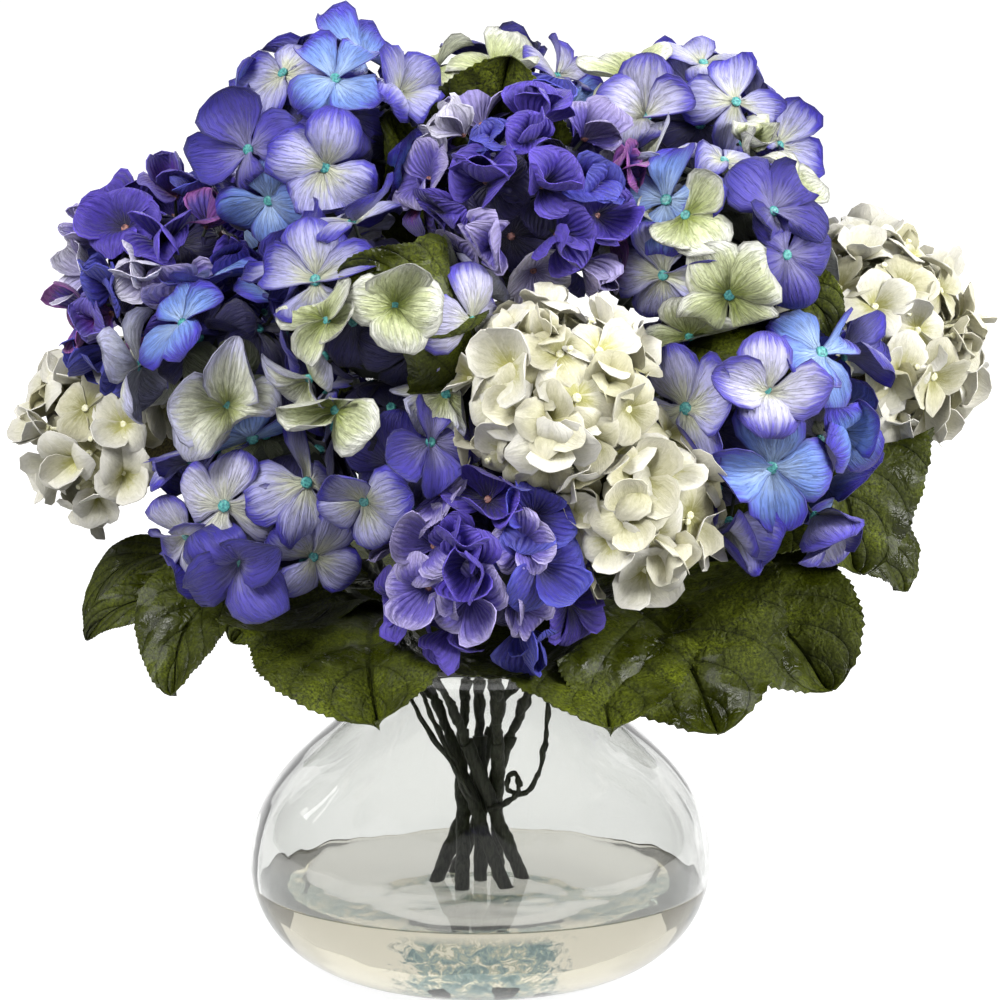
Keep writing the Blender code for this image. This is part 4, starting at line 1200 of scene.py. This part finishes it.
def stamped_blade(name, cloth):
    """A leaf's blade, 1 long and 1 to each side of its rib, stamped from a square of cloth: drawn
    in to its outline row by row, with a tooth on every other row, and creased along its rib."""
    bpy.ops.object.select_all(action="DESELECT")
    bpy.ops.mesh.primitive_grid_add(x_subdivisions=LEAF_COLUMNS, y_subdivisions=LEAF_ROWS, size=2)
    made = named(name)
    places = cloth_places(made)
    for row in range(LEAF_ROWS + 1):
        share = row / LEAF_ROWS
        swell = max(math.sin(math.pi * (share * 0.97 + 0.03) ** 0.9), 0) ** 0.62
        if row == LEAF_ROWS:
            swell = 0.01  # the tip
        pick(made, abs(places[:, 1] - share) < 0.001)
        bpy.ops.transform.resize(value=(swell, 0, 1), center_override=(0, 0, 0))
        bpy.ops.transform.translate(value=(0, share, 0))
    edge = abs(abs(places[:, 0] - 0.5) - 0.5) < 0.001
    rows = np.round(places[:, 1] * LEAF_ROWS).astype(int)
    for side in (-1, 1):
        for size, reach in enumerate((0.008, 0.014, 0.020)):
            teeth = edge & (rows % 2 == 0) & (rows * 5 // 2 % 3 == size)
            teeth &= ((places[:, 0] - 0.5) * side > 0) & (places[:, 1] > 0.05) & (places[:, 1] < 0.98)
            pick(made, teeth)
            bpy.ops.transform.translate(value=(side * reach, 0.005, 0))
    for column in range(LEAF_COLUMNS // 2 + 1):
        across = 2 * column / LEAF_COLUMNS
        pick(made, abs(abs(places[:, 0] - 0.5) * 2 - across) < 0.001)
        bpy.ops.transform.translate(value=(0, 0, 0.28 * across - 0.10 * across**2 if column else -0.03))
    bpy.ops.object.mode_set(mode="OBJECT")
    made.data.materials.append(cloth)
    return made


def clear_of_blooms(points, margin):
    """Points moved out of every bloom's ball."""
    for _ in range(4):
        for name in BLOOMS:
            centre, radius, _ = bloom_ball(name)
            gap = points - np.array(centre)
            reach = np.linalg.norm(gap, axis=1, keepdims=True)
            moved = np.array(centre) + gap / reach * (radius + margin)
            points = np.where(reach < radius + margin, moved, points)
    return points


def leaf_rib(bloom, share, shoulder_mm, tip_mm):
    """Where the leaf leaves its branch, the end of its petiole, its shoulder and its tip."""
    path = branch_path(bloom, 5)
    position = share * (len(path) - 1)
    index = int(position)
    start = path[index].lerp(path[index + 1], position - index)
    along = (path[index + 1] - path[index]).normalized()
    shoulder, tip = Vector(shoulder_mm) * MM, Vector(tip_mm) * MM
    away = shoulder - start
    away = (away - along * away.dot(along)).normalized()
    start = start + away * (BRANCH_RADIUS * 0.8)
    return start, start + away * PETIOLE_LENGTH, shoulder, tip


def hung_leaf(name, blade, rib, width_mm, margin, chance):
    """A copy of the blade laid along its rib, waved at its edges, with its petiole and midrib."""
    start, petiole, shoulder, tip = rib
    flat = points_of(blade)
    waves = [chance.uniform(0, math.tau) for _ in range(3)]
    points = []
    for across, share, rise in flat:
        here = bezier((petiole, shoulder, tip), share)
        run = (shoulder - petiole).lerp(tip - shoulder, share)
        outwards = Vector((here.x * 0.6, here.y + (0.1 if here.y > 0.06 else -0.1), 0)).normalized()
        face_to = UP.lerp(outwards, share)
        side = run.cross(face_to).normalized()
        normal = side.cross(run).normalized()
        # The outline and the rim wave along the leaf, and the cloth puckers between its veins
        reach = width_mm / 2 * MM * (1 + 0.07 * math.sin(share * 13 + waves[2] + 2 * (across > 0)))
        wave = math.sin(share * 9 + waves[0] + 2 * (across > 0)) * 0.13 * across**2
        wave += math.sin(share * 17 + waves[1]) * 0.05 * abs(across)
        wave += math.sin(44 * (share - 0.3 * abs(across)) + waves[2]) * 0.016 * min(abs(across) * 3, 1)
        points.append(here + side * across * reach + normal * (rise + wave) * reach)
    points = clear_of_blooms(np.array(points), margin)
    made = blade.copy()
    made.data = blade.data.copy()
    bpy.context.scene.collection.objects.link(made)
    made.data.vertices.foreach_set("co", points.ravel())
    bpy.ops.object.select_all(action="DESELECT")
    made.select_set(True)
    bpy.context.view_layer.objects.active = made
    thickened(made, LEAF_THICKNESS)
    on_rib = abs(flat[:, 0]) < 0.001
    middle = points[on_rib][np.argsort(flat[on_rib][:, 1])]
    line = [start, start.lerp(petiole, 0.5)] + [Vector(place) for place in middle[::6]][:8]
    stalk = wire("petiole", line, PETIOLE_RADIUS, chance)
    stalk.data.materials.append(dipped_wire)
    stalk.data.uv_layers.new(name=made.data.uv_layers[0].name)
    return joined(name.replace("leaf", "hydrangea_leaf"), [made, stalk])


# Woven polyester in clear size: olive green, with painted shade in the pressed veins and along the
# rib, the weave showing where the size is thin and white streaks of gloss where it is thick.
leaf_cloth, tree, shader = new_finish("sized_woven_polyester_leaf", {
    "Specular IOR Level": 0.2, "Coat Weight": 0.08, "Coat Roughness": 0.1})
flat = add_node(tree, "TexCoord", {}, {})
sides = add_node(tree, "SeparateXYZ", {}, {0: flat.outputs["UV"]})
off = add_node(tree, "Math", {"operation": "MULTIPLY_ADD", 1: 2.0, 2: -1.0}, {0: sides.outputs["X"]})
off = add_node(tree, "Math", {"operation": "ABSOLUTE"}, {0: off})
# The side veins leave the rib forwards, in pairs
slope = add_node(tree, "Math", {"operation": "MULTIPLY_ADD", 1: -0.30}, {0: off, 2: sides.outputs["Y"]})
turns = add_node(tree, "Math", {"operation": "MULTIPLY", 1: VEIN_PAIRS * math.pi}, {0: slope})
wave = add_node(tree, "Math", {"operation": "SINE"}, {0: turns})
wave = add_node(tree, "Math", {"operation": "ABSOLUTE"}, {0: wave})
pillow = add_node(tree, "Math", {"operation": "POWER", 1: 0.3}, {0: wave})
rib = add_node(tree, "MapRange", {"From Min": 0.0, "From Max": 0.04}, {"Value": off})
pressed = add_node(tree, "Math", {"operation": "MULTIPLY"}, {0: pillow, 1: rib})
# Painted shade: the colour darkens in the pressed veins and along the rib
vein_shade = add_node(tree, "MapRange", {"To Min": 0.4}, {"Value": pressed})
blotch = add_node(tree, "TexNoise", {"Scale": 40.0, "Detail": 4.0}, {"Vector": flat.outputs["Object"]})
tone = add_node(tree, "ValToRGB", {"stops": ((0.34, "#262b04"), (0.72, "#515a0c"))}, {"Fac": blotch})
veined = add_node(tree, "Mix", {"data_type": "RGBA", 6: linear("#101506")}, {0: vein_shade, 7: tone})
# Threads 0.5 mm apart, drawn at 1.2 mm so that they show, bare and lighter where the size is thin
threads = add_node(tree, "TexNoise", {"Scale": 820.0, "Detail": 2.0, "Roughness": 0.7},
                   {"Vector": flat.outputs["Object"]})
bare = add_node(tree, "MapRange", {"From Min": 0.42, "From Max": 0.66, "To Min": 0.4, "To Max": 1.0},
                {"Value": blotch})
speck = add_node(tree, "Math", {"operation": "SUBTRACT", 1: 0.48}, {0: threads})
worn = add_node(tree, "Math", {"operation": "MULTIPLY"}, {0: speck, 1: bare})
worn = add_node(tree, "Math", {"operation": "MULTIPLY_ADD", 1: 4.5, 2: 0.84}, {0: worn})
cloth = add_node(tree, "VectorMath", {"operation": "SCALE"}, {0: veined.outputs[2], "Scale": worn})
plug(shader, {"Base Color": cloth})
size_coat = add_node(tree, "MapRange", {"From Min": 0.4, "From Max": 0.48, "To Min": 0.2, "To Max": 0.6},
                     {"Value": blotch})
plug(shader, {"Roughness": size_coat})
crumple = add_node(tree, "TexNoise", {"Scale": 150.0, "Detail": 3.0, "Distortion": 0.8},
                   {"Vector": flat.outputs["Object"]})
raised = add_node(tree, "Bump", {"Strength": 0.7, "Distance": 1.8 * MM}, {"Height": pressed})
raised = add_node(tree, "Bump", {"Strength": 0.75, "Distance": 3 * MM},
                  {"Height": crumple, "Normal": raised})
raised = add_node(tree, "Bump", {"Strength": 0.35, "Distance": 0.4 * MM},
                  {"Height": threads, "Normal": raised})
plug(shader, {"Normal": raised})

blade = stamped_blade("stamped_blade", leaf_cloth)
for name, (bloom, share, shoulder, tip, width, margin) in {**LEAVES, **SMALL_LEAVES}.items():
    rib = leaf_rib(bloom, share, shoulder, tip)
    leaf = hung_leaf(name, blade, rib, width, margin * MM, random.Random(name))
    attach(leaf, "root")
    if name in LEAVES:
        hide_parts(name)
bpy.data.objects.remove(blade)


# Table and light
# A seamless white sheet, lit from behind, that curves up behind the arrangement, a broad soft light
# high on the left, weaker ones on the right and behind, and a white room. The glass and the resin
# have a narrow window light of their own instead, which draws one clean streak on them.
bpy.ops.object.select_all(action="DESELECT")
bpy.ops.mesh.primitive_plane_add(size=40, location=(0, 0, 0))
sweep = named("white_sweep")
pick(sweep, [vertex.co.y > 19 for vertex in sweep.data.vertices])
bpy.ops.mesh.extrude_edges_move(TRANSFORM_OT_translate={"value": (0, 0, 20)})
bpy.ops.object.mode_set(mode="OBJECT")
bend = sweep.modifiers.new("curve_up", "BEVEL")
bend.width, bend.segments, bend.limit_method = 7, 12, "ANGLE"
bpy.ops.object.modifier_apply(modifier=bend.name)
bpy.ops.object.shade_smooth()
paper, tree, shader = new_finish("matt_white_paper", {
    "Roughness": 0.9, "Emission Color": linear("#ffffff"), "Emission Strength": 0.95})
place = add_node(tree, "TexCoord", {}, {})
grain = add_node(tree, "TexNoise", {"Scale": 1.0, "Detail": 2.0}, {"Vector": place.outputs["Object"]})
tone = add_node(tree, "ValToRGB", {"stops": ((0.0, "#868685"), (1.0, "#8c8c8c"))}, {"Fac": grain})
plug(shader, {"Base Color": tone})
sweep.data.materials.append(paper)
sweep.visible_diffuse = False  # the lit paper is seen in the glass, but doesn't fill the shadows

for name, place, width, height, power, on_glass in (
    ("soft_left", (-1.2, -1.5, 1.9), 1.2, 1.2, 70, False),
    ("soft_right", (1.7, -0.9, 1.2), 1.0, 1.0, 62, False),
    ("soft_back", (0.7, 1.9, 1.7), 1.2, 1.2, 34, False),
    ("window_left", (-1.5, 0.7, 1.0), 0.1, 0.6, 0.6, True),
):
    bpy.ops.object.light_add(type="AREA", location=place)
    light = named(name)
    light.data.shape = "RECTANGLE"
    light.data.size, light.data.size_y = width, height
    light.data.energy = power
    aim = Vector((0, 0, 0.25)) - light.location
    light.rotation_euler = aim.to_track_quat("-Z", "Y").to_euler()
    lit = bpy.data.collections.new(f"lit_by_{name}")
    for piece in (vase, resin):
        lit.objects.link(piece)
    for row in lit.collection_objects:
        row.light_linking.link_state = "INCLUDE" if on_glass else "EXCLUDE"
    light.light_linking.receiver_collection = lit
# The room is darker to the left and most to the right, which draws the glass's edges
room = bpy.data.worlds.new("white_room")
room.use_nodes = True
air = room.node_tree.nodes["Background"]
tree = room.node_tree
look = add_node(tree, "TexCoord", {}, {})
right = add_node(tree, "SeparateXYZ", {}, {0: look.outputs["Object"]})
left = add_node(tree, "Math", {"operation": "MULTIPLY", 1: -0.72}, {0: right})
aside = add_node(tree, "Math", {"operation": "MAXIMUM"}, {0: right, 1: left})
dim = add_node(tree, "MapRange", {"From Min": 0.5, "From Max": 0.9, "To Min": 0.37, "To Max": 0.26},
               {"Value": aside})
plug(air, {"Strength": dim})
air.inputs["Color"].default_value = linear("#ffffff")
bpy.context.scene.world = room

bpy.context.scene.view_settings.view_transform = "Standard"
